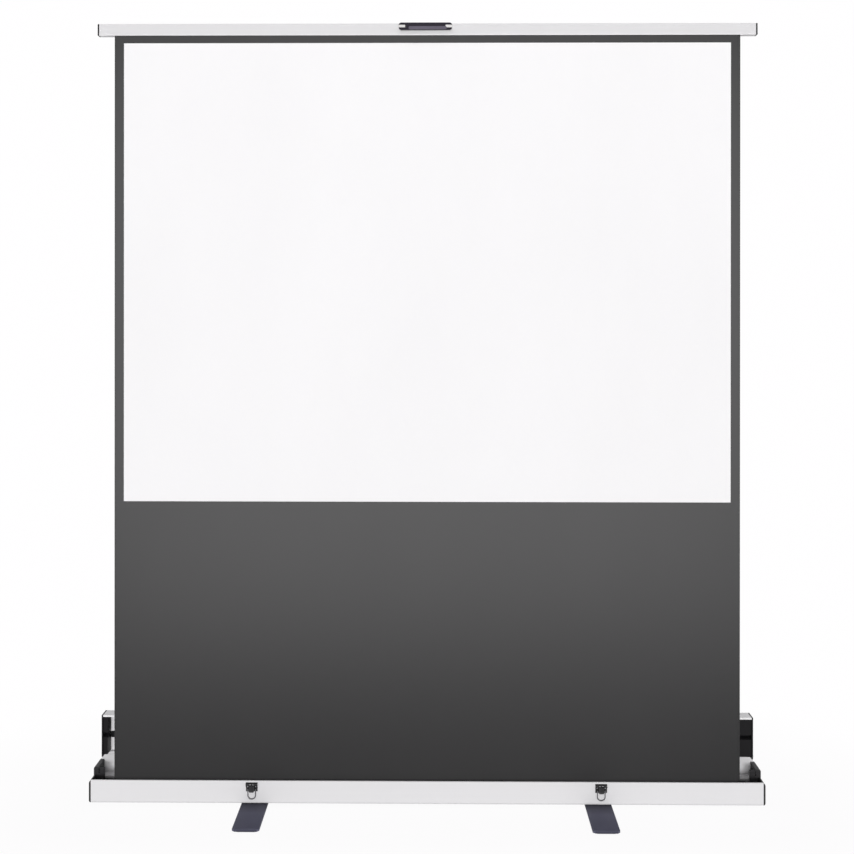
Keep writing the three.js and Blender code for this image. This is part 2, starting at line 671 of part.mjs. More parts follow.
/** The lever: a barrel on the pin, a tongue that hangs before the plate and a bored block for the bail. */
function latchLever() {
  const half = LATCH_WIDTH / 2 - LATCH_WALL - RUN;
  const bottom = LATCH_PIVOT_DROP - LATCH_HEIGHT;
  const barrel = alongX(circle(0, 0, LEVER_BARREL), -half, half, 7);
  const tongue = outline([
    [-LEVER_BARREL, 0],
    [-LEVER_BARREL, bottom + LEVER_LIP],
    [-LEVER_BARREL - LEVER_LIP, bottom],
    [-LEVER_BARREL - LEVER_LIP + LEVER_TONGUE, bottom],
    [-LEVER_BARREL + LEVER_TONGUE, bottom + 2 * LEVER_LIP],
    [-LEVER_BARREL + LEVER_TONGUE, 0],
  ]);
  const seatBack = BAIL_PIVOT_BACK + BAIL_WIRE + LEVER_BARREL - LEVER_TONGUE;
  const seatHalf = BAIL_WIRE + LEVER_TONGUE / 2;
  const seat = rectangle(-LEVER_BARREL, -BAIL_PIVOT_DROP - seatHalf, seatBack, 0);
  const width = LEVER_WIDTH / 2;
  const bailBore = turnedX(rod(BAIL_WIRE + SEAT, -LEVER_WIDTH, LEVER_WIDTH), 10);
  bailBore.translate(0, BAIL_PIVOT_BACK, -BAIL_PIVOT_DROP);
  const pinBore = turnedX(rod(LATCH_PIN_RADIUS + SEAT, -LATCH_WIDTH, LATCH_WIDTH), 10);
  const body = join(barrel, alongX(tongue, -width, width), alongX(seat, -width, width));
  return cut(body, pinBore, bailBore);
}

/** The wire bail, hung on the lever with both ends turned in. The origin is the bail's own axis. */
function latchBail() {
  const side = BAIL_WIDTH / 2 - BAIL_WIRE;
  const inner = LEVER_WIDTH / 2 - BAIL_END;
  const low = -BAIL_LENGTH + BAIL_WIRE;
  const path = new THREE.CurvePath();
  const corners = [[-inner, 0], [-side, 0], [-side, low], [side, low], [side, 0], [inner, 0]];
  const at = (index) => new THREE.Vector3(corners[index][0], 0, corners[index][1]);
  const endBend = Math.min(BAIL_BEND, (side - inner) / 2 + BAIL_WIRE);
  let start = at(0);
  for (let index = 1; index < corners.length - 1; index += 1) {
    const corner = at(index);
    const bend = corners[index][1] === low ? Math.min(BAIL_ROUND, side) : endBend;
    const before = corner.clone().add(start.clone().sub(corner).setLength(bend));
    const after = corner.clone().add(at(index + 1).sub(corner).setLength(bend));
    path.add(new THREE.LineCurve3(start, before));
    path.add(new THREE.QuadraticBezierCurve3(before, corner, after));
    start = after;
  }
  path.add(new THREE.LineCurve3(start, at(corners.length - 1)));
  return new THREE.ExtrudeGeometry(polygon(BAIL_WIRE, 6), { steps: 40, extrudePath: path });
}

function latch(side) {
  const half = LATCH_WIDTH / 2;
  const bail = part(`latch_bail_${side}`, latchBail(), STEEL);
  bail.position.set(0, BAIL_PIVOT_BACK, -BAIL_PIVOT_DROP);
  return group(
    part(`latch_plate_${side}`, latchPlate(), BLACK_STEEL),
    part(`latch_pin_${side}`, turnedX(rod(LATCH_PIN_RADIUS, -half, half), 12), STEEL),
    part(`latch_lever_${side}`, latchLever(), BLACK_STEEL),
    bail,
  );
}

// Lid

/** The lid's extrusion, drawn about the hinge and open: panel, skirt with its lip, ribs and hinge hook. */
function lidShell() {
  const panelInner = LID_RISE - LID_WALL;
  const skirtEnd = LID_RISE - LID_SKIRT;
  const panel = outline([
    [LID_RISE, -LID_TAIL],
    [LID_RISE, LID_REACH],
    [skirtEnd, LID_REACH],
    [skirtEnd, LID_REACH - LID_LIP],
    [skirtEnd + LID_WALL, LID_REACH - LID_LIP],
    [skirtEnd + LID_WALL, LID_REACH - LID_WALL],
    [panelInner, LID_REACH - LID_WALL],
    [panelInner, -LID_TAIL],
  ]);
  const bore = HINGE_BEAD + RUN;
  const outer = bore + HOOK_WALL;
  const from = THREE.MathUtils.degToRad(HOOK_FROM);
  const to = THREE.MathUtils.degToRad(HOOK_TO);
  const hook = new THREE.Shape();
  hook.absarc(0, 0, outer, from, to, false);
  hook.absarc(0, 0, bore, to, from, true);
  hook.closePath();
  const web = rectangle(bore + HOOK_WALL / 2, -HOOK_WALL / 2, LID_RISE - LID_WALL / 2, HOOK_WALL / 2);
  const ribs = [FOAM_BASE - SEAT - LID_RIB, FOAM_BASE + FOAM_HEIGHT + SEAT].map((z) =>
    rectangle(panelInner - LID_RIB, z, LID_RISE - LID_WALL / 2, z + LID_RIB),
  );
  const run = (shape) => alongX(shape, -LID_HALF, LID_HALF, 10);
  const notchHalf = HANDLE_LENGTH / 2 + Math.abs(HANDLE_OFFSET) + NOTCH_MARGIN;
  const notchBack = LID_RISE - LID_WALL - NOTCH_MARGIN;
  const notch = block(
    [-notchHalf, skirtEnd - LID_WALL, LID_REACH - 2 * LID_LIP],
    [notchHalf, notchBack, LID_REACH + LID_WALL],
  );
  return cut(join(run(panel), run(hook), run(web), ...ribs.map(run)), notch);
}

/** A lid end cap of one depth: an end plate and a hollow block with a notch for the tower's front wall. */
function lidEndCap(depth) {
  const back = LID_RISE - LID_WALL - LID_RIB - SEAT;
  const skirt = LID_RISE - LID_SKIRT;
  const front = skirt + LID_WALL + SEAT;
  const top = LID_REACH - LID_WALL - SEAT;
  const low = HINGE_BEAD + RUN + HOOK_WALL + SEAT;
  const wallFront = HINGE_Y - (CASE_REAR - CASE_WALL - SEAT - TOWER_DEPTH);
  const wallBack = wallFront - TOWER_FRONT;
  const wallTop = CASE_BOTTOM + TOWER_HEIGHT - HINGE_Z;
  const deep = wallTop + LID_CAP_NOTCH;
  const notchTop = wallFront + LID_CAP_NOTCH;
  const mouth = Math.sqrt(wallBack ** 2 + wallTop ** 2 - skirt ** 2) - LID_CAP_NOTCH;
  const profile = outline([
    [front, low],
    [back, low],
    [back, top],
    [front, top],
    [front, notchTop],
    [deep, notchTop],
    [deep, wallBack - LID_CAP_NOTCH],
    [front, mouth],
  ]);
  const plate = outline([
    [skirt, LID_CAP_HEEL],
    [-low, LID_CAP_HEEL],
    [-low, low],
    [LID_RISE, low],
    [LID_RISE, LID_REACH],
    [skirt, LID_REACH],
  ]);
  const inside = LID_HALF - depth;
  const pocketTop = top - LID_CAP_WALL;
  const pocketBase = notchTop + LID_CAP_WALL;
  const pitch = (back - front - LID_CAP_WALL) / LID_RIB_COUNT;
  const pockets = Array.from({ length: LID_RIB_COUNT }, (_, index) => {
    const from = front + LID_CAP_WALL + index * pitch;
    return block(
      [inside - LID_CAP_WALL, from, pocketBase],
      [LID_HALF - LID_CAP_WALL, from + pitch - LID_CAP_WALL, pocketTop],
    );
  });
  const body = cut(alongX(profile, inside, LID_HALF), ...pockets);
  return join(body, alongX(plate, LID_HALF, LID_HALF + LID_CAP_END));
}

function keeper() {
  const base = LID_REACH;
  const front = LID_RISE - LID_SKIRT + LID_LIP;
  const middle = front + KEEPER_LENGTH / 2;
  const shape = outline([
    [front, base],
    [front + KEEPER_LENGTH, base],
    [front + KEEPER_LENGTH, base + LATCH_WALL],
    [middle + LATCH_WALL, base + LATCH_WALL],
    [middle + LATCH_WALL, base + KEEPER_HOOK - LATCH_WALL],
    [middle + KEEPER_HOOK, base + KEEPER_HOOK - LATCH_WALL],
    [middle + KEEPER_HOOK, base + KEEPER_HOOK],
    [middle, base + KEEPER_HOOK],
    [middle, base + LATCH_WALL],
    [front, base + LATCH_WALL],
  ]);
  return alongX(shape, -KEEPER_WIDTH / 2, KEEPER_WIDTH / 2);
}

function lid() {
  const foam = block(
    [-LID_HALF + LID_CAP_LEFT + SEAT, LID_RISE - LID_WALL - FOAM_DEPTH, FOAM_BASE],
    [LID_HALF - LID_CAP_RIGHT - SEAT, LID_RISE - LID_WALL, FOAM_BASE + FOAM_HEIGHT],
  );
  const leftCap = part("lid_end_cap_left", lidEndCap(LID_CAP_LEFT), BLACK_PLASTIC);
  leftCap.scale.x = -1;
  const keepers = ["left", "right"].map((side, index) => {
    const mesh = part(`latch_keeper_${side}`, keeper(), BLACK_STEEL);
    mesh.position.x = ((index ? 1 : -1) * LATCH_SPACING) / 2;
    return mesh;
  });
  const made = group(
    part("lid_shell", lidShell(), ALUMINIUM),
    leftCap,
    part("lid_end_cap_right", lidEndCap(LID_CAP_RIGHT), BLACK_PLASTIC),
    part("lid_foam_strip", foam, FOAM),
    ...keepers,
  );
  made.position.set(0, HINGE_Y, HINGE_Z);
  return made;
}

// Lifting scissor

/** An arm from pivot to pivot along X: a flat bar with round ends, three bores and long recesses. */
function arm(front, back) {
  const radius = ARM_HEIGHT / 2;
  const shape = roundBar(0, ARM_PITCH, radius);
  const pivots = [0, ARM_PITCH / 2, ARM_PITCH];
  pivots.forEach((x) => {
    shape.holes.push(new THREE.Path().absarc(x, 0, PIN_RADIUS + RUN, 0, 2 * Math.PI, true));
  });
  const deep = (ARM_THICKNESS - ARM_WEB) / 2;
  const narrow = radius - ARM_RIM;
  const ends = ARM_HEIGHT;
  const recess = [0, 1].flatMap((half) => {
    const from = pivots[half] + ends;
    const to = pivots[half + 1] - ends;
    const groove = roundBar(from, to, narrow);
    return [alongY(groove, front - deep, front + deep, 4), alongY(groove, back - deep, back + deep, 4)];
  });
  return cut(alongY(shape, front, back, 8), ...recess);
}

/** A pin that joins a front and a rear arm, with a collar that keeps them apart. */
function joiningPin() {
  const collarFront = FRONT_LAYER_BACK + SEAT;
  const collarBack = REAR_LAYER - SEAT;
  const front = FRONT_LAYER - SEAT;
  const back = REAR_LAYER_BACK + SEAT;
  return turnedY(
    stepped(
      [PIN_HEAD, front - PIN_HEAD_HEIGHT, front],
      [PIN_RADIUS, front, collarFront],
      [PIN_COLLAR, collarFront, collarBack],
      [PIN_RADIUS, collarBack, back],
      [PIN_HEAD, back, back + PIN_HEAD_HEIGHT],
    ),
  );
}

/** A slide block for a track of one clear half height, bored for its pin. */
function slideBlock(from, to, trackHalf) {
  const half = SLIDER_LENGTH / 2;
  const high = trackHalf - RUN;
  const shape = outline([
    [-half + SLIDER_CHAMFER, -high],
    [half - SLIDER_CHAMFER, -high],
    [half, -high + SLIDER_CHAMFER],
    [half, high - SLIDER_CHAMFER],
    [half - SLIDER_CHAMFER, high],
    [-half + SLIDER_CHAMFER, high],
    [-half, high - SLIDER_CHAMFER],
    [-half, -high + SLIDER_CHAMFER],
  ]);
  shape.holes.push(new THREE.Path().absarc(0, 0, PIN_RADIUS + RUN, 0, 2 * Math.PI, true));
  return alongY(shape, from, to, 8);
}

function pivotBracket() {
  const front = FRONT_LAYER_BACK + RUN;
  const round = PIN_COLLAR;
  const shape = new THREE.Shape();
  shape.moveTo(-PIVOT_BRACKET_HALF, CASE_FLOOR - PIVOT_Z);
  shape.lineTo(PIVOT_BRACKET_HALF, CASE_FLOOR - PIVOT_Z);
  shape.lineTo(round, 0);
  shape.absarc(0, 0, round, 0, Math.PI, false);
  shape.closePath();
  shape.holes.push(new THREE.Path().absarc(0, 0, PIN_RADIUS + SEAT, 0, 2 * Math.PI, true));
  const upright = alongY(shape, front, front + PIVOT_BRACKET_WALL);
  const base = block(
    [-PIVOT_BRACKET_HALF, front, CASE_FLOOR - PIVOT_Z],
    [PIVOT_BRACKET_HALF, front + PIVOT_BRACKET_FOOT, CASE_FLOOR - PIVOT_Z + PIVOT_BRACKET_WALL],
  );
  return join(upright, base);
}

function basePivotPin() {
  const front = FRONT_LAYER - SEAT;
  const back = FRONT_LAYER_BACK + RUN + PIVOT_BRACKET_WALL;
  return turnedY(
    stepped(
      [PIN_HEAD, front - PIN_HEAD_HEIGHT, front],
      [PIN_RADIUS, front, back],
      [PIN_HEAD - PIN_HEAD_HEIGHT, back, back + PIN_HEAD_HEIGHT],
    ),
  );
}

function baseSliderPin() {
  const front = REAR_LAYER - SEAT;
  const back = REAR_LAYER_BACK + SEAT;
  const sliderBack = TRACK_FRONT + TRACK_WALL + RUN + SLIDER_DEPTH;
  return turnedY(
    stepped(
      [PIN_HEAD, front - ARM_GAP / 2, front],
      [PIN_RADIUS, front, back],
      [PIN_HEAD, back, TRACK_FRONT - RUN],
      [PIN_RADIUS, TRACK_FRONT - RUN, sliderBack],
    ),
  );
}

function topSliderPin() {
  const back = FRONT_LAYER_BACK + SEAT;
  const front = FRONT_LAYER - SEAT;
  const sliderFront = BAR_TRACK_BACK - TRACK_WALL - RUN - SLIDER_DEPTH;
  return turnedY(
    stepped(
      [PIN_RADIUS, sliderFront, BAR_TRACK_BACK + RUN],
      [PIN_HEAD, BAR_TRACK_BACK + RUN, front],
      [PIN_RADIUS, front, back],
      [PIN_HEAD, back, back + ARM_GAP / 2],
    ),
  );
}

function scissor() {
  const right = PIVOT_X + ARM_SPAN;
  const middle = PIVOT_X + ARM_SPAN / 2;
  const place = (mesh, x, z, angle = 0) => {
    mesh.position.set(x, 0, z);
    mesh.rotation.y = angle;
    return mesh;
  };
  const frontArm = arm(FRONT_LAYER, FRONT_LAYER_BACK);
  const rearArm = arm(REAR_LAYER, REAR_LAYER_BACK);
  const rising = -ANGLE;
  const falling = Math.PI + ANGLE;
  const baseSliderFront = TRACK_FRONT + TRACK_WALL + RUN;
  const topSliderBack = BAR_TRACK_BACK - TRACK_WALL - RUN;
  const baseSlider = slideBlock(baseSliderFront, baseSliderFront + SLIDER_DEPTH, TRACK_HALF);
  const topSlider = slideBlock(topSliderBack - SLIDER_DEPTH, topSliderBack, BAR_TRACK_HALF);
  return group(
    place(part("lower_arm_front", frontArm.clone(), ALUMINIUM), PIVOT_X, PIVOT_Z, rising),
    place(part("lower_arm_rear", rearArm.clone(), ALUMINIUM), right, PIVOT_Z, falling),
    place(part("upper_arm_front", frontArm.clone(), ALUMINIUM), PIVOT_X, ELBOW_Z, rising),
    place(part("upper_arm_rear", rearArm.clone(), ALUMINIUM), right, ELBOW_Z, falling),
    place(part("lower_cross_pin", joiningPin(), STEEL), middle, (PIVOT_Z + ELBOW_Z) / 2),
    place(part("upper_cross_pin", joiningPin(), STEEL), middle, (ELBOW_Z + BAR_PIVOT_Z) / 2),
    place(part("left_elbow_pin", joiningPin(), STEEL), PIVOT_X, ELBOW_Z),
    place(part("right_elbow_pin", joiningPin(), STEEL), right, ELBOW_Z),
    place(part("pivot_bracket", pivotBracket(), STEEL), PIVOT_X, PIVOT_Z),
    place(part("base_pivot_pin", basePivotPin(), STEEL), PIVOT_X, PIVOT_Z),
    place(part("base_slider_pin", baseSliderPin(), STEEL), right, PIVOT_Z),
    place(part("base_slider", baseSlider, NYLON), right, PIVOT_Z),
    place(part("top_slider_pin", topSliderPin(), STEEL), right, BAR_PIVOT_Z),
    place(part("top_slider", topSlider, NYLON), right, BAR_PIVOT_Z),
  );
}

// Top bar

/** The bar's outline in Y and Z from its underside: front box with the cloth groove, and the track behind. */
function barOutline(withGroove) {
  const shape = new THREE.Shape();
  const middle = BAR_HEIGHT / 2;
  const trackOuter = BAR_TRACK_HALF + TRACK_WALL;
  const line = BAR_HEIGHT - BAR_LINE_DROP;
  shape.moveTo(BAR_FRONT, BAR_HEIGHT - BAR_ROUND);
  shape.lineTo(BAR_FRONT, line + BAR_LINE);
  shape.lineTo(BAR_FRONT + BAR_LINE, line);
  shape.lineTo(BAR_FRONT, line - BAR_LINE);
  shape.lineTo(BAR_FRONT, BAR_BEAD_HEIGHT + BAR_BEAD);
  shape.lineTo(BAR_FRONT - BAR_BEAD, BAR_BEAD_HEIGHT);
  shape.lineTo(BAR_FRONT - BAR_BEAD, BAR_BEAD);
  shape.lineTo(BAR_FRONT, 0);
  if (withGroove) {
    const groove = ROD_RADIUS + RUN;
    const half = Math.asin(GROOVE_SLOT / 2 / groove);
    shape.lineTo(CLOTH_Y - GROOVE_SLOT / 2, 0);
    shape.absarc(CLOTH_Y, ROD_HEIGHT, groove, 1.5 * Math.PI - half, -Math.PI / 2 + half, true);
    shape.lineTo(CLOTH_Y + GROOVE_SLOT / 2, 0);
  }
  shape.lineTo(BAR_BACK, 0);
  shape.lineTo(BAR_BACK, middle - trackOuter);
  shape.lineTo(BAR_TRACK_BACK, middle - trackOuter);
  if (withGroove) {
    const lipInner = BAR_TRACK_BACK - TRACK_WALL;
    const lip = BAR_TRACK_HALF - TRACK_LIP;
    const channel = [
      [BAR_TRACK_BACK, -lip],
      [lipInner, -lip],
      [lipInner, -BAR_TRACK_HALF],
      [BAR_BACK, -BAR_TRACK_HALF],
      [BAR_BACK, BAR_TRACK_HALF],
      [lipInner, BAR_TRACK_HALF],
      [lipInner, lip],
      [BAR_TRACK_BACK, lip],
    ];
    channel.forEach(([y, z]) => shape.lineTo(y, middle + z));
  }
  shape.lineTo(BAR_TRACK_BACK, middle + trackOuter);
  shape.lineTo(BAR_BACK, middle + trackOuter);
  shape.lineTo(BAR_BACK, BAR_HEIGHT);
  shape.lineTo(BAR_FRONT + BAR_ROUND, BAR_HEIGHT);
  shape.absarc(BAR_FRONT + BAR_ROUND, BAR_HEIGHT - BAR_ROUND, BAR_ROUND, Math.PI / 2, Math.PI, false);
  shape.closePath();
  return shape;
}

function barExtrusion() {
  const shape = barOutline(true);
  const shelf = ROD_HEIGHT + ROD_RADIUS + RUN + BAR_WALL;
  const grooveBack = CLOTH_Y + ROD_RADIUS + RUN + BAR_WALL;
  const chamber = [
    [grooveBack, BAR_WALL],
    [BAR_BACK - BAR_WALL, BAR_WALL],
    [BAR_BACK - BAR_WALL, BAR_HEIGHT - BAR_WALL],
    [BAR_FRONT + BAR_WALL, BAR_HEIGHT - BAR_WALL],
    [BAR_FRONT + BAR_WALL, shelf],
    [grooveBack, shelf],
  ];
  shape.holes.push(new THREE.Path(chamber.map(([y, z]) => new THREE.Vector2(y, z))));
  return alongX(shape, -BAR_HALF, BAR_HALF, 6);
}

/** The block that sits in the bar's track and carries the upper rear arm's pin on a long boss. */
function topPivotBlock() {
  const high = BAR_TRACK_HALF - SEAT;
  const back = BAR_TRACK_BACK - TRACK_WALL - SEAT;
  const half = PIVOT_BLOCK_LENGTH / 2;
  const body = block([-half, back - SLIDER_DEPTH, -high], [half, back, high]);
  const boss = turnedY(rod(PIVOT_BOSS - SEAT, back - SLIDER_DEPTH, REAR_LAYER - RUN));
  const bore = turnedY(rod(PIN_RADIUS + SEAT, back, REAR_LAYER));
  return cut(join(body, boss), bore);
}

function topPivotPin() {
  const front = BAR_TRACK_BACK - TRACK_WALL;
  const back = REAR_LAYER_BACK + SEAT;
  return turnedY(stepped([PIN_RADIUS, front, back], [PIN_HEAD, back, back + PIN_HEAD_HEIGHT]));
}

/** The grip seen from the front, a plate with round corners. */
function gripFace() {
  const half = HANDLE_LENGTH / 2 - HANDLE_ROUND;
  const rise = HANDLE_HEIGHT / 2 - HANDLE_ROUND;
  const shape = new THREE.Shape();
  const corners = [[half, rise], [-half, rise], [-half, -rise], [half, -rise]];
  corners.forEach(([x, z], index) => {
    const from = (index * Math.PI) / 2;
    shape.absarc(x, z, HANDLE_ROUND, from, from + Math.PI / 2, false);
  });
  shape.closePath();
  return shape;
}

/** The pin through the lug on one side, grown all round. */
function lugPin(side, grown) {
  const half = LUG_HEIGHT / 2 + LUG_PIN_REACH + grown;
  const x = (side * (HANDLE_LENGTH - LUG_LENGTH)) / 2;
  const y = BAR_FRONT - HANDLE_STANDOFF - HANDLE_THICKNESS / 2;
  return turnedZ(rod(LUG_PIN + grown, -half, half), 12).translate(x, y, 0);
}

/** The right-hand lug on the bar's front with its pin, its nose rounded when seen from above. */
function lug() {
  const outer = HANDLE_LENGTH / 2;
  const inner = outer - LUG_LENGTH;
  const nose = BAR_FRONT - LUG_REACH + LUG_ROUND;
  const shape = new THREE.Shape();
  shape.moveTo(inner, BAR_FRONT);
  shape.absarc(inner + LUG_ROUND, nose, LUG_ROUND, Math.PI, 1.5 * Math.PI, false);
  shape.absarc(outer - LUG_ROUND, nose, LUG_ROUND, 1.5 * Math.PI, 2 * Math.PI, false);
  shape.lineTo(outer, BAR_FRONT);
  shape.closePath();
  return join(alongZ(shape, -LUG_HEIGHT / 2, LUG_HEIGHT / 2), lugPin(1, 0));
}

/** The grip, bevelled all round and forked at each end round the lug that carries it. */
function handleGrip() {
  const half = HANDLE_LENGTH / 2;
  const near = BAR_FRONT - HANDLE_STANDOFF;
  const body = new THREE.ExtrudeGeometry(gripFace(), {
    depth: HANDLE_THICKNESS - 2 * HANDLE_BEVEL,
    bevelThickness: HANDLE_BEVEL,
    bevelSize: HANDLE_BEVEL,
    bevelOffset: -HANDLE_BEVEL,
    bevelSegments: 2,
    curveSegments: 5,
  });
  body.applyMatrix4(PROFILE_TO_Y).translate(0, near - HANDLE_BEVEL, 0);
  const high = LUG_HEIGHT / 2 + SEAT;
  const from = half - LUG_LENGTH - SEAT;
  const forks = [-1, 1].flatMap((side) => {
    const ends = [side * from, side * (half + SEAT)].sort((a, b) => a - b);
    const slot = block([ends[0], near - 2 * HANDLE_THICKNESS, -high], [ends[1], BAR_FRONT, high]);
    return [slot, lugPin(side, SEAT)];
  });
  return cut(body, ...forks);
}

function handle() {
  const left = part("handle_bracket_left", lug(), NICKEL);
  left.scale.x = -1;
  const made = group(
    part("handle_grip", handleGrip(), GRIP_PLASTIC),
    left,
    part("handle_bracket_right", lug(), NICKEL),
  );
  made.position.set(HANDLE_OFFSET, 0, HANDLE_BASE + HANDLE_HEIGHT / 2);
  return made;
}

function topBar() {
  const cap = alongX(barOutline(false), BAR_HALF, BAR_HALF + BAR_CAP, 6);
  const leftCap = part("top_bar_end_cap_left", cap.clone(), BLACK_PLASTIC);
  leftCap.scale.x = -1;
  const clothRod = turnedX(rod(ROD_RADIUS, -CLOTH_HALF, CLOTH_HALF), 12);
  clothRod.translate(0, CLOTH_Y, ROD_HEIGHT);
  const pivot = group(
    part("top_pivot_block", topPivotBlock(), NYLON),
    part("top_pivot_pin", topPivotPin(), STEEL),
  );
  pivot.position.set(PIVOT_X, 0, BAR_HEIGHT / 2);
  const made = group(
    part("top_bar", barExtrusion(), ALUMINIUM),
    leftCap,
    part("top_bar_end_cap_right", cap, BLACK_PLASTIC),
    part("cloth_rod", clothRod, STEEL),
    pivot,
    handle(),
  );
  made.position.z = BAR_BOTTOM;
  return made;
}

// The whole screen

function baseCase() {
  const leftCap = part("base_end_cap_left", caseEndCap(), BLACK_PLASTIC);
  leftCap.scale.x = -1;
  const right = part("base_end_cap_right", caseEndCap(), BLACK_PLASTIC);
  return group(part("base_shell", caseShell(), ALUMINIUM), leftCap, right);
}

function pairs() {
  return ["left", "right"].flatMap((side, index) => {
    const outward = index ? 1 : -1;
    const oneFoot = foot(side);
    oneFoot.position.x = (outward * FOOT_SPACING) / 2;
    const oneLatch = latch(side);
    const pivotZ = FRONT_TOP - LATCH_TOP_DROP - LATCH_PIVOT_DROP;
    oneLatch.position.set((outward * LATCH_SPACING) / 2, CASE_FRONT - LATCH_PIVOT_REACH, pivotZ);
    return [oneFoot, oneLatch];
  });
}

const screen = group(baseCase(), roller(), cloth(), ...pairs(), lid(), scissor(), topBar());
screen.name = "projection_screen";

export default screen;
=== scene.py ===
"""Dresses a floor-standing pull-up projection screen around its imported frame."""
import json
import logging
import math
from collections.abc import Callable, Iterator, Mapping, Sequence
from contextlib import contextmanager
from dataclasses import dataclass
from enum import Enum
from typing import Any

import bmesh
import bpy
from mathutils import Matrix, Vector


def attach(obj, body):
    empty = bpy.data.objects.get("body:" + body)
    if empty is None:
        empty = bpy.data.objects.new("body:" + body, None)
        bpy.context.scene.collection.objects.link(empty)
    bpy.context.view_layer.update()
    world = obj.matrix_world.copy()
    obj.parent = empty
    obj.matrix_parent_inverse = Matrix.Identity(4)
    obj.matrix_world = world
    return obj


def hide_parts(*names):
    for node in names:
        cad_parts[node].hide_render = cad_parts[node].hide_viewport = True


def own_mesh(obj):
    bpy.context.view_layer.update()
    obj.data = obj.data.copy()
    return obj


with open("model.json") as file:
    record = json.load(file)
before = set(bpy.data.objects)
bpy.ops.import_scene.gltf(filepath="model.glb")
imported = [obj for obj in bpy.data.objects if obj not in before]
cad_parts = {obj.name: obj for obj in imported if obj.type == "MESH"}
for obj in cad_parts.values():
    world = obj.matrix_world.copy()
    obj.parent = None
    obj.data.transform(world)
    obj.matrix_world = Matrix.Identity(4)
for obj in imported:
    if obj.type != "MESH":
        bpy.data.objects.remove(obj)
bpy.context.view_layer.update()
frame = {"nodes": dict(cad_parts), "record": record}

LOG = logging.getLogger("screen")
MM = 0.001
MERGE = 2e-6  # metres, corners nearer than this are one
TOUCH = 0.01  # millimetres, what is nearer to a plane than this lies on it
ALONG = 0.99  # a direction with more than this of an axis runs along it
FLAT = math.radians(0.4)  # faces that turn less than this are one face
CREASE = math.radians(38)  # sharper edges than this stay sharp
ARM_SLOPE = 55.12  # degrees, how steeply the raised arms stand
MIX_FIRST, MIX_SECOND, MIX_RESULT = 6, 7, 2  # a Mix node's sockets for colours

Span = tuple[float, float]
Place = tuple[float, float, float]
Colour = tuple[float, float, float]
Test = Callable[[Vector, Vector], bool]


class Named(Enum):
    """Options that the frame's names are made from."""

    @property
    def word(self) -> str:
        """The option's name as the frame writes it."""
        return self.name.lower()


class Side(Named):
    """The two ends of the screen, as the viewer sees them."""

    LEFT = -1
    RIGHT = 1


class End(Named):
    """The two ends of a foot."""

    FRONT = -1
    REAR = 1


class Pick(Enum):
    """What an operator works on in edit mode."""

    CORNERS = "VERT"
    EDGES = "EDGE"
    FACES = "FACE"


class Lines(Enum):
    """The way a bar was drawn, as its turn about Y in degrees."""

    ALONG = 0.0
    RISING = -ARM_SLOPE
    FALLING = ARM_SLOPE


class Glow(Enum):
    """How a lamp shows on the object, as spread light and as a reflection."""

    SPREAD = (True, False)
    MIRRORED = (False, True)
    BOTH = (True, True)


class Value:
    """A shader socket that takes arithmetic."""

    def __init__(self, shader: "Shader", socket: bpy.types.NodeSocket) -> None:
        """Keeps the socket and the tree that it belongs to."""
        self.shader = shader
        self.socket = socket

    def math(self, operation: str, other: "Value | float" = 0.0, flip: bool = False) -> "Value":
        """Adds a Math node on this value.

        Args:
            operation: the node's operation.
            other: the second value.
            flip: whether the second value comes first.

        Returns:
            The node's result.
        """
        pair = (other, self) if flip else (self, other)
        return self.shader.node("ShaderNodeMath", {"operation": operation}, {0: pair[0], 1: pair[1]})

    def __add__(self, other: "Value | float") -> "Value":
        """This value plus another."""
        return self.math("ADD", other)

    __radd__ = __add__

    def __sub__(self, other: "Value | float") -> "Value":
        """This value less another."""
        return self.math("SUBTRACT", other)

    def __rsub__(self, other: "Value | float") -> "Value":
        """Another value less this one."""
        return self.math("SUBTRACT", other, flip=True)

    def __mul__(self, other: "Value | float") -> "Value":
        """This value times another."""
        return self.math("MULTIPLY", other)

    __rmul__ = __mul__

    def __truediv__(self, other: "Value | float") -> "Value":
        """This value over another."""
        return self.math("DIVIDE", other)

    def __rtruediv__(self, other: "Value | float") -> "Value":
        """Another value over this one."""
        return self.math("DIVIDE", other, flip=True)

    def sine(self) -> "Value":
        """The sine of this value."""
        return self.math("SINE")

    def size(self) -> "Value":
        """This value without its sign."""
        return self.math("ABSOLUTE")

    def most(self, other: "Value | float") -> "Value":
        """The larger of two values."""
        return self.math("MAXIMUM", other)

    def least(self, other: "Value | float") -> "Value":
        """The smaller of two values."""
        return self.math("MINIMUM", other)

    def between(self, low: float, high: float) -> "Value":
        """How far this value has gone from low to high, from 0 to 1."""
        share = (self - low) / (high - low)
        return share.most(0.0).least(1.0)


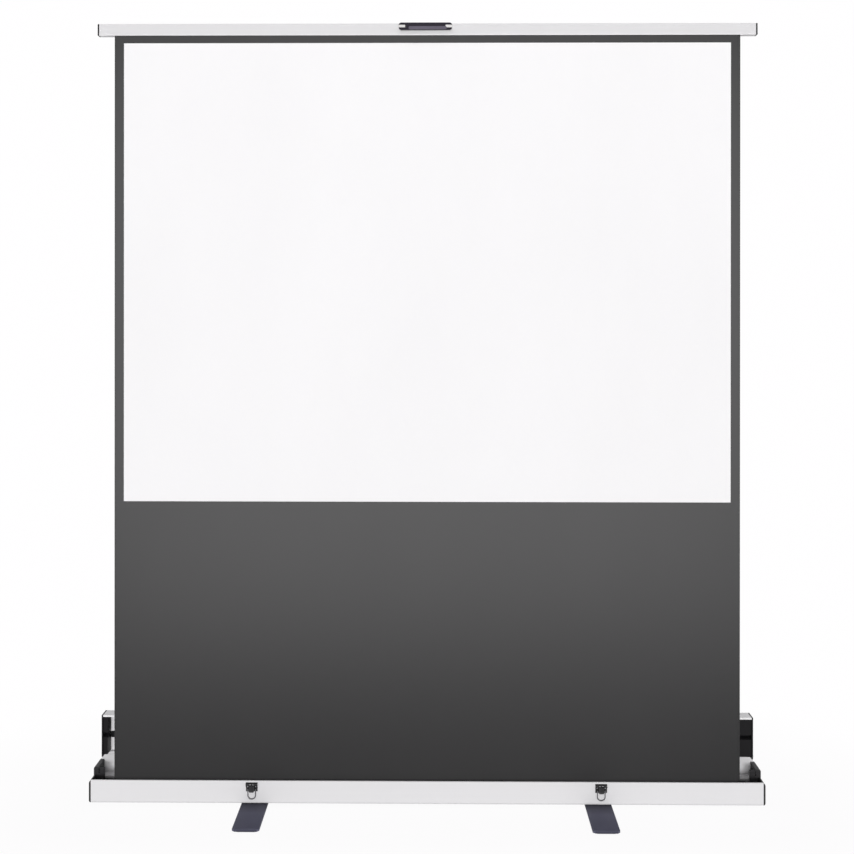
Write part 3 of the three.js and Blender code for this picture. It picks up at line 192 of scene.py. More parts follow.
class Shader:
    """The node tree of a material or of the world."""

    def __init__(self, owner: bpy.types.Material | bpy.types.World) -> None:
        """Empties the tree of its owner.

        Args:
            owner: the material or the world.
        """
        owner.use_nodes = True
        self.tree = owner.node_tree
        self.tree.nodes.clear()

    def node(self, kind: str, settings: Mapping[str, Any] | None = None,
             values: Mapping[str | int, Any] | None = None, output: str | int = 0) -> Value:
        """Adds one node.

        Args:
            kind: the node's type.
            settings: its options.
            values: numbers, colours or links for its inputs.
            output: which of its results is wanted.

        Returns:
            The wanted result, or the first input of a node that ends the tree.
        """
        node = self.tree.nodes.new(kind)
        for key, setting in (settings or {}).items():
            setattr(node, key, setting)
        for key, value in (values or {}).items():
            socket = node.inputs[key]
            if isinstance(value, Value):
                self.tree.links.new(value.socket, socket)
            elif isinstance(value, Sequence) and socket.type == "RGBA":
                socket.default_value = (*value, 1.0)
            else:
                socket.default_value = value
        return Value(self, node.outputs[output] if node.outputs else node.inputs[0])

    def place(self, stretch: Place = (1.0, 1.0, 1.0), turn: float = 0.0) -> Value:
        """Gives object coordinates, turned about Y and then shrunk by a stretch.

        Args:
            stretch: how long one unit of the pattern is on each axis, in metres.
            turn: the turn about Y, in degrees.

        Returns:
            The coordinates.
        """
        spot = self.node("ShaderNodeTexCoord", output="Object")
        settings = {"vector_type": "TEXTURE"}
        values = {"Vector": spot, "Rotation": (0.0, math.radians(turn), 0.0), "Scale": stretch}
        return self.node("ShaderNodeMapping", settings, values)

    def part(self, where: Value, axis: str) -> Value:
        """Gives one coordinate of a place or a direction."""
        return self.node("ShaderNodeSeparateXYZ", values={0: where}, output=axis)

    def spread(self, width: float, length: float) -> tuple[Value, Value]:
        """Gives the place on a flat sheet, from its own map.

        Args:
            width: the sheet's width, in metres.
            length: its length, in metres.

        Returns:
            How far across and how far along the place is, in metres.
        """
        flat = self.node("ShaderNodeTexCoord", output="UV")
        across = self.part(flat, "X")
        along = self.part(flat, "Y")
        return across * width, along * length

    def noise(self, where: Value, scale: float = 1.0, detail: float = 3.0, rough: float = 0.55) -> Value:
        """Gives soft noise from 0 to 1."""
        values = {"Vector": where, "Scale": scale, "Detail": detail, "Roughness": rough}
        return self.node("ShaderNodeTexNoise", values=values)

    def mix(self, share: Value, first: Colour | Value, second: Colour | Value) -> Value:
        """Mixes two colours by a share."""
        values = {0: share, MIX_FIRST: first, MIX_SECOND: second}
        return self.node("ShaderNodeMix", {"data_type": "RGBA"}, values, output=MIX_RESULT)

    def bump(self, height: Value, strength: float, distance: float) -> Value:
        """Turns a height into a bent normal."""
        values = {"Strength": strength, "Distance": distance, "Height": height}
        return self.node("ShaderNodeBump", values=values)

    def skin(self, **values: Any) -> None:
        """Ends the tree in a Principled shader.

        Args:
            values: its sockets, with _ for a space in their names.
        """
        sockets = {key.replace("_", " "): value for key, value in values.items()}
        shader = self.node("ShaderNodeBsdfPrincipled", values=sockets)
        self.node("ShaderNodeOutputMaterial", values={"Surface": shader})


def shade(colour: Colour, share: float) -> Colour:
    """Gives a colour at a share of its brightness."""
    return (colour[0] * share, colour[1] * share, colour[2] * share)


@dataclass(frozen=True)
class Finish:
    """The look of one kind of surface, tied to a material slot of the record."""

    name: str
    slot: str
    tint: Colour
    roughness: float

    def nodes(self, shader: Shader) -> None:
        """Adds this finish's nodes to an empty tree."""
        raise NotImplementedError(self.name)

    def material(self) -> bpy.types.Material:
        """Gives this finish's material, made on its first use.

        Returns:
            The material.
        """
        made = bpy.data.materials.get(self.name)
        if made is None:
            made = bpy.data.materials.new(self.name)
            self.nodes(Shader(made))
        return made

    def toned(self, shader: Shader, share: Value, tones: Span) -> Value:
        """Gives the tint, from one share of its brightness to another."""
        return shader.mix(share, shade(self.tint, tones[0]), shade(self.tint, tones[1]))

    def uneven(self, *swings: tuple[Value, float]) -> "Value | float":
        """Gives the roughness, swung about its mean by patterns.

        Args:
            swings: each pattern, from 0 to 1, and how far it swings the roughness.

        Returns:
            The roughness.
        """
        roughness = self.roughness
        for pattern, swing in swings:
            roughness = roughness + (pattern - 0.5) * swing
        return roughness


@dataclass(frozen=True)
class DrawnMetal(Finish):
    """Satin metal with fine lines along the way that it was drawn."""

    lines: Lines = Lines.ALONG
    relief: float = 0.06
    metal: float = 1.0
    gloss: float = 0.5
    line_size: Place = (0.6, 0.0011, 0.0011)
    line_share: float = 0.6
    line_swing: float = 0.16
    line_height: float = 0.0004
    cloud_size: Place = (0.5, 0.16, 0.16)
    cloud_swing: float = 0.1
    tones: Span = (0.95, 1.03)

    def nodes(self, shader: Shader) -> None:
        """Adds lines to the tone, the roughness and the surface.

        Args:
            shader: the empty tree.
        """
        fine = shader.noise(shader.place(self.line_size, self.lines.value), detail=4.0)
        cloud = shader.noise(shader.place(self.cloud_size, self.lines.value))
        colour = self.toned(shader, fine * self.line_share + cloud * (1 - self.line_share), self.tones)
        roughness = self.uneven((fine, self.line_swing), (cloud, self.cloud_swing))
        shader.skin(Base_Color=colour, Metallic=self.metal, Roughness=roughness,
                    Specular_IOR_Level=self.gloss, Normal=shader.bump(fine, self.relief, self.line_height))


@dataclass(frozen=True)
class PlatedMetal(Finish):
    """Plated steel with faint clouds and handling marks."""

    cloud_scale: float = 45.0
    mark_size: Place = (0.012, 0.0012, 0.004)
    mark_swing: float = 0.22
    mark_height: float = 0.0002
    relief: float = 0.05
    tones: Span = (0.9, 1.04)

    def nodes(self, shader: Shader) -> None:
        """Adds clouds to the tone and marks to the roughness.

        Args:
            shader: the empty tree.
        """
        cloud = shader.noise(shader.place(), self.cloud_scale)
        marks = shader.noise(shader.place(self.mark_size), detail=5.0)
        shader.skin(Base_Color=self.toned(shader, cloud, self.tones), Metallic=1.0,
                    Roughness=self.uneven((marks, self.mark_swing)),
                    Normal=shader.bump(marks, self.relief, self.mark_height))


@dataclass(frozen=True)
class Textured(Finish):
    """Moulded plastic, rubber or a powder coat, with a fine grain and lighter worn edges."""

    grain: float = 0.0009
    relief: float = 0.12
    wear: float = 0.35
    gloss: float = 0.5
    grain_swing: float = 0.12
    grain_height: float = 0.0003
    cloud_scale: float = 14.0
    cloud_share: float = 0.5
    cloud_swing: float = 0.1
    worn: Span = (0.52, 0.62)
    tones: Span = (0.88, 1.5)

    def nodes(self, shader: Shader) -> None:
        """Adds the grain, a faint cloud and the wear along edges.

        Args:
            shader: the empty tree.
        """
        grain = shader.noise(shader.place((self.grain,) * 3), detail=2.0)
        cloud = shader.noise(shader.place(), self.cloud_scale)
        edge = shader.node("ShaderNodeNewGeometry", output="Pointiness").between(*self.worn)
        light = (cloud * self.cloud_share + edge * self.wear).least(1.0)
        roughness = self.uneven((grain, self.grain_swing), (cloud, self.cloud_swing))
        shader.skin(Base_Color=self.colour(shader, light), Roughness=roughness,
                    Specular_IOR_Level=self.gloss,
                    Normal=shader.bump(grain, self.relief, self.grain_height))

    def colour(self, shader: Shader, light: Value) -> Value:
        """Gives the tint, paler where light is 1."""
        return self.toned(shader, light, self.tones)


@dataclass(frozen=True)
class FootCoat(Textured):
    """A powder coat with painted shade: darker near the case and on a foot's front and rear faces, and so
    lighter towards its tips.
    """

    # near to far, in metres along the foot: where the painted shade by the case gives way to the plain coat;
    # dark and end: the painted shade's share of the tint
    near: float = 0.066
    far: float = 0.122
    dark: float = 0.32
    end: float = 0.55
    end_turn: Span = (0.75, 0.95)

    def colour(self, shader: Shader, light: Value) -> Value:
        """Gives the tint, with painted shade near the case and on the front and rear faces.

        Args:
            shader: the tree.
            light: where the coat is worn and clouded.

        Returns:
            The colour.
        """
        along = shader.part(shader.place(), "Y").size()
        outward = shader.part(shader.node("ShaderNodeTexCoord", output="Normal"), "Y").size()
        # painted shade where the foot runs under the case
        top = shader.mix(along.between(self.near, self.far), shade(self.tint, self.dark),
                         super().colour(shader, light))
        # painted shade on faces that point forward or back
        return shader.mix(outward.between(*self.end_turn), top, shade(self.tint, self.end))


@dataclass(frozen=True)
class Woven(Finish):
    """Coated screen cloth with its fine weave and a welded hem along each side."""

    width: float = 1.0
    length: float = 1.0
    pitch: float = 0.0016
    relief: float = 0.1
    gloss: float = 0.5
    hem: float = 0.008
    hem_blur: float = 0.001
    hem_tone: float = 0.85
    hem_height: float = 2.0
    thread_share: float = 0.5
    thread_swing: float = 0.05
    thread_height: float = 0.0002
    cloud_size: Place = (0.35, 0.35, 0.9)
    cloud_swing: float = 0.1
    tones: Span = (0.93, 1.05)

    def nodes(self, shader: Shader) -> None:
        """Adds the crossing threads, the coating's faint clouds and the hems.

        Args:
            shader: the empty tree.
        """
        across, along = shader.spread(self.width, self.length)
        turns = 2 * math.pi / self.pitch
        threads = (across * turns).sine() * (along * turns).sine() * 0.5 + 0.5
        cloud = shader.noise(shader.place(self.cloud_size), detail=4.0)
        from_edge = across.least(self.width - across)
        flat = from_edge.between(self.hem - self.hem_blur, self.hem + self.hem_blur)
        weave = threads * self.thread_share
        plain = self.toned(shader, weave + cloud * (1 - self.thread_share), self.tones)
        height = weave + (1.0 - flat) * self.hem_height
        shader.skin(Base_Color=shader.mix(flat, shade(self.tint, self.hem_tone), plain),
                    Roughness=self.uneven((cloud, self.cloud_swing), (threads, self.thread_swing)),
                    Specular_IOR_Level=self.gloss,
                    Normal=shader.bump(height, self.relief, self.thread_height))


def anodised(name: str, tint: Colour) -> DrawnMetal:
    """Gives the satin finish of the large extrusions in one tint."""
    return DrawnMetal(name, "aluminium", tint, 0.5, metal=0.06, gloss=0.25)


CASE_METAL = anodised("anodised_case", (0.762, 0.755, 0.767))
# painted light: the case's anodised aluminium made paler, to lift the lid where the cloth shades it
LID_METAL_PAINTED_LIGHT = anodised("anodised_lid", (0.93, 0.922, 0.936))
# painted shade: the case's anodised aluminium made darker, because the bar takes more light than the case
BAR_METAL_PAINTED_SHADE = anodised("anodised_bar", (0.712, 0.705, 0.717))
RISING_ARM = DrawnMetal("anodised_rising_arm", "aluminium", (0.74, 0.74, 0.755), 0.34, Lines.RISING)
FALLING_ARM = DrawnMetal("anodised_falling_arm", "aluminium", (0.74, 0.74, 0.755), 0.34, Lines.FALLING)
ZINC = PlatedMetal("zinc_steel", "steel", (0.64, 0.645, 0.66), 0.34)
NICKEL = PlatedMetal("bright_nickel", "nickel", (0.8, 0.79, 0.78), 0.2)
BAIL_STEEL = PlatedMetal("bail_steel", "steel", (0.2, 0.2, 0.21), 0.3)
BLACK_CAP = Textured("moulded_black", "black_plastic", (0.009, 0.0085, 0.0095), 0.5,
                     relief=0.16, gloss=0.16)
TOWER_CAP = Textured("moulded_tower", "black_plastic", (0.025, 0.0243, 0.0258), 0.5,
                     relief=0.16, gloss=0.16)
BLACK_STEEL = Textured("coated_steel", "black_steel", (0.016, 0.0155, 0.0165), 0.38,
                       grain=0.0006, relief=0.08, wear=0.8, gloss=0.4)
# the feet's powder coat, with painted shade by the case and on the front and rear faces
FOOT_COAT_PAINTED_SHADE = FootCoat("powder_coat", "foot_paint", (0.106, 0.107, 0.155), 0.55,
                     grain=0.0012, relief=0.14, wear=0.1, gloss=0.12)
GRIP_DARK = Textured("grip_dark", "grip_plastic", (0.02, 0.017, 0.025), 0.5,
                     grain=0.0007, relief=0.12, wear=0.2, gloss=0.2)
# painted light: a paler copy of the grip's plastic for the lit lower half of the grip
GRIP_PAINTED_LIGHT = Textured("grip_pale", "grip_plastic", (0.105, 0.095, 0.125), 0.55,
                     grain=0.0007, relief=0.1, wear=0.1, gloss=0.3)
RUBBER = Textured("pad_rubber", "rubber", (0.014, 0.014, 0.014), 0.75,
                  grain=0.0014, relief=0.2, wear=0.1, gloss=0.3)
FOAM = Textured("lid_foam", "foam", (0.016, 0.016, 0.017), 0.9,
                grain=0.0022, relief=0.5, wear=0.0, gloss=0.2)
NYLON = Textured("slide_nylon", "nylon", (0.62, 0.61, 0.56), 0.42, grain=0.002, relief=0.05, wear=0.1)
BLACK_CLOTH = Woven("coated_black", "black_cloth", (0.012, 0.0116, 0.0122), 0.4,
                    width=1.67, length=2.03, gloss=0.2)
WHITE_CLOTH = Woven("matte_white", "white_cloth", (0.89, 0.882, 0.892), 0.85,
                    width=1.62, length=1.225, relief=0.03, gloss=0.2, hem=0.0)


class Piece:
    """One object on the bench, shaped with operators and then hung on the frame."""

    def __init__(self, name: str, thing: bpy.types.Object) -> None:
        """Takes an object and names it.

        Args:
            name: the piece's name.
            thing: the object.
        """
        self.thing = thing
        thing.name = name
        thing.data.name = name

    @staticmethod
    def clear() -> None:
        """Deselects everything."""
        bpy.ops.object.select_all(action="DESELECT")

    @classmethod
    def block(cls, name: str, low: Place, high: Place) -> "Piece":
        """Adds a cube and stretches it between two corners.

        Args:
            name: the piece's name.
            low: the lowest corner, in millimetres.
            high: the highest corner, in millimetres.

        Returns:
            The piece, with its place in its mesh.
        """
        cls.clear()
        bpy.ops.mesh.primitive_cube_add(size=1.0)
        thing = bpy.context.object
        thing.location = (Vector(low) + Vector(high)) * (MM / 2)
        thing.scale = (Vector(high) - Vector(low)) * MM
        return cls(name, thing).settle()

    @classmethod
    def rod(cls, name: str, start: Place | Vector, end: Place | Vector, radius: float, sides: int) -> "Piece":
        """Adds a cylinder between two points.

        Args:
            name: the piece's name.
            start: the middle of one end, in millimetres.
            end: the middle of the other end, in millimetres.
            radius: the radius, in millimetres.
            sides: how many sides it has.

        Returns:
            The piece, with its place in its mesh.
        """
        cls.clear()
        line = Vector(end) - Vector(start)
        bpy.ops.mesh.primitive_cylinder_add(
            vertices=sides, radius=radius * MM, depth=line.length * MM,
            location=(Vector(start) + Vector(end)) * (MM / 2),
            rotation=line.to_track_quat("Z", "Y").to_euler(),
        )
        return cls(name, bpy.context.object).settle()

    @classmethod
    def panel(cls, name: str, low: Place, high: Place, cells: tuple[int, int]) -> "Piece":
        """Adds a flat grid that stands across the view.

        Args:
            name: the piece's name.
            low: the lowest corner, in millimetres.
            high: the highest corner, in millimetres.
            cells: how many faces it has across and up.

        Returns:
            The piece, with its place in its mesh and its own map.
        """
        cls.clear()
        bpy.ops.mesh.primitive_grid_add(
            x_subdivisions=cells[0], y_subdivisions=cells[1], size=1.0, calc_uvs=True,
            rotation=(math.pi / 2, 0.0, 0.0),
        )
        thing = bpy.context.object
        thing.location = (Vector(low) + Vector(high)) * (MM / 2)
        thing.scale = ((high[0] - low[0]) * MM, (high[2] - low[2]) * MM, 1.0)
        return cls(name, thing).settle()

    @classmethod
    def from_solid(cls, node: str) -> "Piece":
        """Copies a solid of the frame and joins its loose triangles into whole faces.

        Args:
            node: the solid's name.

        Returns:
            The merged copy.
        """
        cls.clear()
        thing = bpy.data.objects.new(node, frame["nodes"][node].data.copy())
        bpy.context.scene.collection.objects.link(thing)
        piece = cls("fine_" + node, thing)
        piece.activate()
        bpy.ops.mesh.customdata_custom_splitnormals_clear()
        with piece.edit(Pick.CORNERS):
            bpy.ops.mesh.select_all(action="SELECT")
            bpy.ops.mesh.remove_doubles(threshold=MERGE)
            bpy.ops.mesh.dissolve_limited(angle_limit=FLAT)
        return piece

    @classmethod
    def joined(cls, name: str, pieces: Sequence["Piece"]) -> "Piece":
        """Joins pieces into the first of them.

        Args:
            name: the new piece's name.
            pieces: what is joined.

        Returns:
            The new piece.
        """
        pieces[0].activate()
        for other in pieces[1:]:
            other.thing.select_set(True)
        bpy.ops.object.join()
        return cls(name, pieces[0].thing)

    def settle(self) -> "Piece":
        """Moves the object's place, turn and size into its mesh.

        Returns:
            This piece.
        """
        self.activate()
        bpy.ops.object.transform_apply(location=True, rotation=True, scale=True)
        return self

    def activate(self) -> None:
        """Makes this the only selected object."""
        self.clear()
        self.thing.select_set(True)
        bpy.context.view_layer.objects.active = self.thing

    def remove(self) -> None:
        """Takes the piece away, once it has served as a tool or a pattern."""
        bpy.data.objects.remove(self.thing)

    @contextmanager
    def edit(self, pick: Pick) -> Iterator[None]:
        """Opens the mesh for operators, with nothing selected.

        Args:
            pick: what the operators work on.
        """
        self.activate()
        bpy.ops.object.mode_set(mode="EDIT")
        bpy.ops.mesh.select_mode(type=pick.value)
        bpy.ops.mesh.select_all(action="DESELECT")
        yield
        bpy.ops.object.mode_set(mode="OBJECT")

    def faces(self, test: Test) -> None:
        """Selects faces in edit mode.

        Args:
            test: says yes or no to a face's middle, in millimetres, and its normal.
        """
        mesh = bmesh.from_edit_mesh(self.thing.data)
        mesh.normal_update()
        for face in mesh.faces:
            face.select_set(test(face.calc_center_median() / MM, face.normal))
        mesh.select_flush_mode()
        bmesh.update_edit_mesh(self.thing.data)

    def edges(self, test: Test) -> None:
        """Selects edges in edit mode.

        Args:
            test: says yes or no to an edge's middle, in millimetres, and its direction.
        """
        mesh = bmesh.from_edit_mesh(self.thing.data)
        for edge in mesh.edges:
            first, second = (corner.co for corner in edge.verts)
            edge.select_set(test((first + second) / (2 * MM), (second - first).normalized()))
        mesh.select_flush_mode()
        bmesh.update_edit_mesh(self.thing.data)

    def round_edges(self, test: Test, width: float, steps: int = 3) -> "Piece":
        """Rounds the edges that pass a test.

        Args:
            test: says which edges are rounded.
            width: how far the round reaches, in millimetres.
            steps: how many faces the round has.

        Returns:
            This piece.
        """
        with self.edit(Pick.EDGES):
            self.edges(test)
            bpy.ops.mesh.bevel(offset=width * MM, segments=steps, affect="EDGES", clamp_overlap=True)
        return self

    def apply(self, kind: str, **settings: Any) -> "Piece":
        """Adds a modifier, sets it and applies it.

        Args:
            kind: the modifier's type.
            settings: its options.

        Returns:
            This piece.
        """
        modifier = self.thing.modifiers.new(kind.lower(), kind)
        for key, value in settings.items():
            setattr(modifier, key, value)
        self.activate()
        bpy.ops.object.modifier_apply(modifier=modifier.name)
        return self

    def cut(self, tool: "Piece") -> None:
        """Cuts the shape of another piece out of this one, and takes that piece away."""
        self.apply("BOOLEAN", operation="DIFFERENCE", object=tool.thing, solver="EXACT")
        tool.remove()

    def soften(self, width: float, steps: int = 2) -> "Piece":
        """Breaks the sharp edges and smooths the rest.

        Args:
            width: how far the edges are broken, in millimetres, or 0 to leave them sharp.
            steps: how many faces a broken edge has.

        Returns:
            This piece.
        """
        if width > 0:
            self.apply("BEVEL", width=width * MM, segments=steps, limit_method="ANGLE",
                       angle_limit=CREASE, use_clamp_overlap=True)
        self.activate()
        bpy.ops.object.shade_smooth_by_angle(angle=CREASE)
        self.apply("WEIGHTED_NORMAL", keep_sharp=True)
        return self

    def twin(self, name: str, move: Place) -> "Piece":
        """Copies this piece with a mesh of its own.

        Args:
            name: the copy's name.
            move: how far the copy goes, in millimetres.

        Returns:
            The copy.
        """
        self.activate()
        bpy.ops.object.duplicate()
        copy = Piece(name, bpy.context.object)
        copy.thing.location = Vector(move) * MM
        return copy.settle()

    def dress(self, finish: Finish, body: str, *nodes: str) -> "Piece":
        """Puts a finish on the piece and hangs it on a body.

        Args:
            finish: what the piece is made of.
            body: the body that it moves with.
            nodes: the solids that it stands for.

        Returns:
            This piece.
        """
        self.thing.data.materials.clear()
        self.thing.data.materials.append(finish.material())
        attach(self.thing, body)
        if nodes:
            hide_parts(*nodes)
        LOG.info("%s in %s on %s", self.thing.name, finish.name, body)
        return self


def body_of(node: str) -> str:
    """Finds the body that a solid of the frame belongs to.

    Args:
        node: the solid's name.

    Returns:
        The body's name.
    """
    for body, nodes in frame["record"]["behaviour"]["bodies"].items():
        if node in nodes:
            return body
    raise KeyError(node)


def finished(node: str, finish: Finish, edge: float) -> None:
    """Copies a solid, breaks its edges by some millimetres and dresses it in the solid's place."""
    Piece.from_solid(node).soften(edge).dress(finish, body_of(node), node)


def upright(middle: Vector, way: Vector) -> bool:
    """Whether an edge runs up and down."""
    return abs(way.z) > ALONG


@dataclass(frozen=True)
class CapScrews:
    """The screws that hold an end cap, with round heads that stand on its face."""

    name: str
    reach: float
    places: tuple[Span, ...]
    radius: float
    sides: int = 24
    proud: float = 0.9
    sunk: float = 0.6
    rim: float = 0.6
    land: float = 0.38
    slope: float = 0.12
    recess: float = 0.5

    def build(self, side: Side, body: str) -> None:
        """Models the screws of one cap as one piece.

        Args:
            side: the end that the cap is on.
            body: the body that the cap belongs to.
        """
        name = f"{self.name}_{side.word}"
        way = Vector((side.value, 0.0, 0.0))
        heads = [self.head(name, Vector((side.value * self.reach, y, z)), way) for y, z in self.places]
        Piece.joined(name, heads).soften(0.0).dress(ZINC, body)

    def head(self, name: str, at: Vector, way: Vector) -> Piece:
        """Models one head.

        Args:
            name: the piece's name.
            at: its middle on the cap's face, in millimetres.
            way: the way that it looks.

        Returns:
            The head, with a round rim and a sunk recess.
        """
        top = at + way * self.proud
        head = Piece.rod(name, at - way * self.sunk, top, self.radius, self.sides)
        head.round_edges(lambda middle, _: (middle - top).dot(way) > -TOUCH, self.rim)
        with head.edit(Pick.FACES):
            head.faces(lambda middle, normal: normal.dot(way) > ALONG)
            bpy.ops.mesh.inset(thickness=self.radius * self.land * MM)
            bpy.ops.mesh.inset(thickness=self.radius * self.slope * MM, depth=-self.recess * MM)
        return head


@dataclass
class Case:
    """The lidded case's lower half: extrusion, end caps, brackets and the scissor's fixed pivot."""

    half: float = 902.0
    shell_edge: float = 0.5
    steel_edge: float = 0.4
    bracket_edge: float = 0.6
    cap_edge: float = 0.9
    rim: float = 4.8
    rim_steps: int = 6
    screw_places: tuple[Span, ...] = ((-42.0, 24.0), (42.0, 24.0), (32.0, 74.0))
    screw_radius: float = 3.4

    def build(self) -> None:
        """Dresses the case's solids, rounds the caps' rims and adds their screws."""
        finished("base_shell", CASE_METAL, self.shell_edge)
        finished("roller_bracket_right", BLACK_CAP, self.bracket_edge)
        for node in ("roller_bracket_left", "pivot_bracket", "base_pivot_pin"):
            finished(node, ZINC, self.steel_edge)
        screws = CapScrews("cap_screws", self.half, self.screw_places, self.screw_radius)
        for side in Side:
            node = "base_end_cap_" + side.word
            cap = Piece.from_solid(node)
            cap.round_edges(lambda middle, _: abs(middle.x) > self.half - TOUCH, self.rim, self.rim_steps)
            cap.soften(self.cap_edge).dress(TOWER_CAP, "base", node)
            screws.build(side, "base")


@dataclass
class Roller:
    """The sprung roller in the case, with the turns of cloth that stay on it."""

    middle: Span = (-28.7, 39.0)
    half: float = 835.0
    inner: float = 17.3
    outer: float = 20.3
    turns: float = 2.0
    steps: int = 64
    bands: int = 12
    thickness: float = 0.5
    edge: float = 0.3

    def build(self) -> None:
        """Dresses the roller's solids and winds the cloth on."""
        finished("roller_tube", CASE_METAL, self.edge)
        for side in Side:
            finished("roller_plug_" + side.word, BLACK_CAP, self.edge)
        finished("spring_arbor", ZINC, self.edge)
        finished("torsion_spring", ZINC, 0.0)
        self.winding()

    def winding(self) -> None:
        """Winds a sheet in a spiral from the tube to where the drop leaves it."""
        count = int(self.turns * self.steps)
        wide = self.bands + 1
        across = [self.half * (2 * band / self.bands - 1) for band in range(wide)]
        corners: list[Vector] = []
        length = 0.0
        for step in range(count + 1):
            angle = math.pi + 2 * math.pi * (step - count) / self.steps
            radius = self.inner + (self.outer - self.inner) * step / count
            y = self.middle[0] + radius * math.cos(angle)
            z = self.middle[1] - radius * math.sin(angle)
            row = [Vector((x, y, z)) * MM for x in across]
            if corners:
                length += (row[0] - corners[-wide]).length
            corners.extend(row)
        faces = [(r * wide + b, r * wide + b + 1, (r + 1) * wide + b + 1, (r + 1) * wide + b)
                 for r in range(count) for b in range(self.bands)]
        mesh = bpy.data.meshes.new("wound_cloth")
        mesh.from_pydata(corners, [], faces)
        layer = mesh.uv_layers.new(name="UVMap")
        for loop in mesh.loops:
            row, band = divmod(loop.vertex_index, wide)
            layer.data[loop.index].uv = (band / self.bands, row / count * length / BLACK_CLOTH.length)
        thing = bpy.data.objects.new("wound_cloth", mesh)
        bpy.context.scene.collection.objects.link(thing)
        cloth = Piece("wound_cloth", thing)
        cloth.apply("SOLIDIFY", thickness=self.thickness * MM, offset=0.0)
        cloth.soften(0.0).dress(BLACK_CLOTH, "roller", "cloth_wrap")


@dataclass(frozen=True)
class Sheet:
    """One sheet that hangs flat across the view."""

    name: str
    node: str
    finish: Woven
    half: float
    low: float
    high: float
    face: float
    thickness: float
    cells: tuple[int, int]
    rests_on: tuple[str, ...]

    def hang(self) -> Piece:
        """Returns:
            The sheet.
        """
        sheet = Piece.panel(self.name, (-self.half, self.face, self.low),
                            (self.half, self.face, self.high), self.cells)
        sheet.apply("SOLIDIFY", thickness=self.thickness * MM, offset=0.0)
        sheet.soften(0.0).dress(self.finish, "base", self.node)
        return sheet


@dataclass
class ScreenCloth:
    """The raised cloth: black behind and round the white viewing surface."""

    black: Sheet = Sheet("black_cloth", "screen_cloth", BLACK_CLOTH, half=835.0, low=39.3, high=2065.0,
                         face=-49.0, thickness=0.5, cells=(48, 58), rests_on=("cloth_rod", "roller_tube"))
    white: Sheet = Sheet("white_surface", "viewing_surface", WHITE_CLOTH, half=810.0, low=814.5, high=2039.5,
                         face=-49.55, thickness=0.3, cells=(46, 36), rests_on=("black_cloth",))
    folded: float = 0.0196

    def build(self) -> None:
        """Hangs both sheets, each with a mesh of its own."""
        for sheet in [plan.hang() for plan in (self.black, self.white)]:
            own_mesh(sheet.thing)


@dataclass
class Feet:
    """The two flat bars that swivel under the case."""

    spacing: float = 916.0
    width: float = 70.0
    length: float = 460.0
    low: float = 3.0
    high: float = 9.7
    corner: float = 6.5
    bevel: float = 1.0
    undercut: float = 1.4
    hole: float = 9.4
    hole_depth: float = 3.2
    hole_overrun: float = 2.0
    hole_sides: int = 40
    bolt_edge: float = 0.4
    pad: Span = (50.0, 30.0)
    pad_place: float = 208.0
    pad_corner: float = 4.0
    pad_edge: float = 0.25
    grooves: tuple[float, ...] = (-8.0, 0.0, 8.0)
    groove_half: float = 1.0
    groove_slope: float = 0.4
    groove_depth: float = 1.0

    def build(self) -> None:
        """Models one foot and one pad, and copies them."""
        bar = self.bar()
        pad = self.rubber_pad()
        for side in Side:
            x = side.value * self.spacing / 2
            body = "foot_" + side.word
            bar.twin("foot_bar_" + side.word, (x, 0.0, 0.0)).dress(FOOT_COAT_PAINTED_SHADE, body, body)
            for end in End:
                name = f"foot_pad_{side.word}_{end.word}"
                place = (x, end.value * self.pad_place, 0.0)
                pad.twin("rubber_" + name, place).dress(RUBBER, body, name)
            finished("foot_bolt_" + side.word, ZINC, self.bolt_edge)
        bar.remove()
        pad.remove()

    def bar(self) -> Piece:
        """Models the bar about the origin.

        Returns:
            The bar, with cut corners, a bevelled rim and an undercut edge.
        """
        wide, half = self.width / 2, self.length / 2
        bar = Piece.block("foot_bar", (-wide, -half, self.low), (wide, half, self.high))
        bar.round_edges(upright, self.corner, 1)
        bar.round_edges(lambda middle, _: middle.z > self.high - TOUCH, self.bevel)
        bar.round_edges(lambda middle, _: middle.z < self.low + TOUCH, self.undercut)
        start, end = self.low - self.hole_overrun, self.low + self.hole_depth
        bar.cut(Piece.rod("bolt_hole", (0.0, 0.0, start), (0.0, 0.0, end), self.hole, self.hole_sides))
        return bar.soften(0.0)

    def rubber_pad(self) -> Piece:
        """Models one ribbed rubber pad about the origin.

        Returns:
            The pad, with grooves across its underside.
        """
        wide, deep = self.pad[0] / 2, self.pad[1] / 2
        pad = Piece.block("foot_pad", (-wide, -deep, 0.0), (wide, deep, self.low))
        pad.round_edges(upright, self.pad_corner, 4)
        for y in (groove + side.value * self.groove_half for groove in self.grooves for side in Side):
            with pad.edit(Pick.FACES):
                bpy.ops.mesh.select_all(action="SELECT")
                bpy.ops.mesh.bisect(plane_co=(0.0, y * MM, 0.0), plane_no=(0.0, 1.0, 0.0))
        with pad.edit(Pick.FACES):
            pad.faces(self.in_groove)
            bpy.ops.mesh.inset(thickness=self.groove_slope * MM, depth=-self.groove_depth * MM,
                               use_individual=True)
        return pad.soften(self.pad_edge)

    def in_groove(self, middle: Vector, normal: Vector) -> bool:
        """Whether a face of the pad's underside lies where a groove goes."""
        return normal.z < -ALONG and any(abs(middle.y - groove) < self.groove_half for groove in self.grooves)


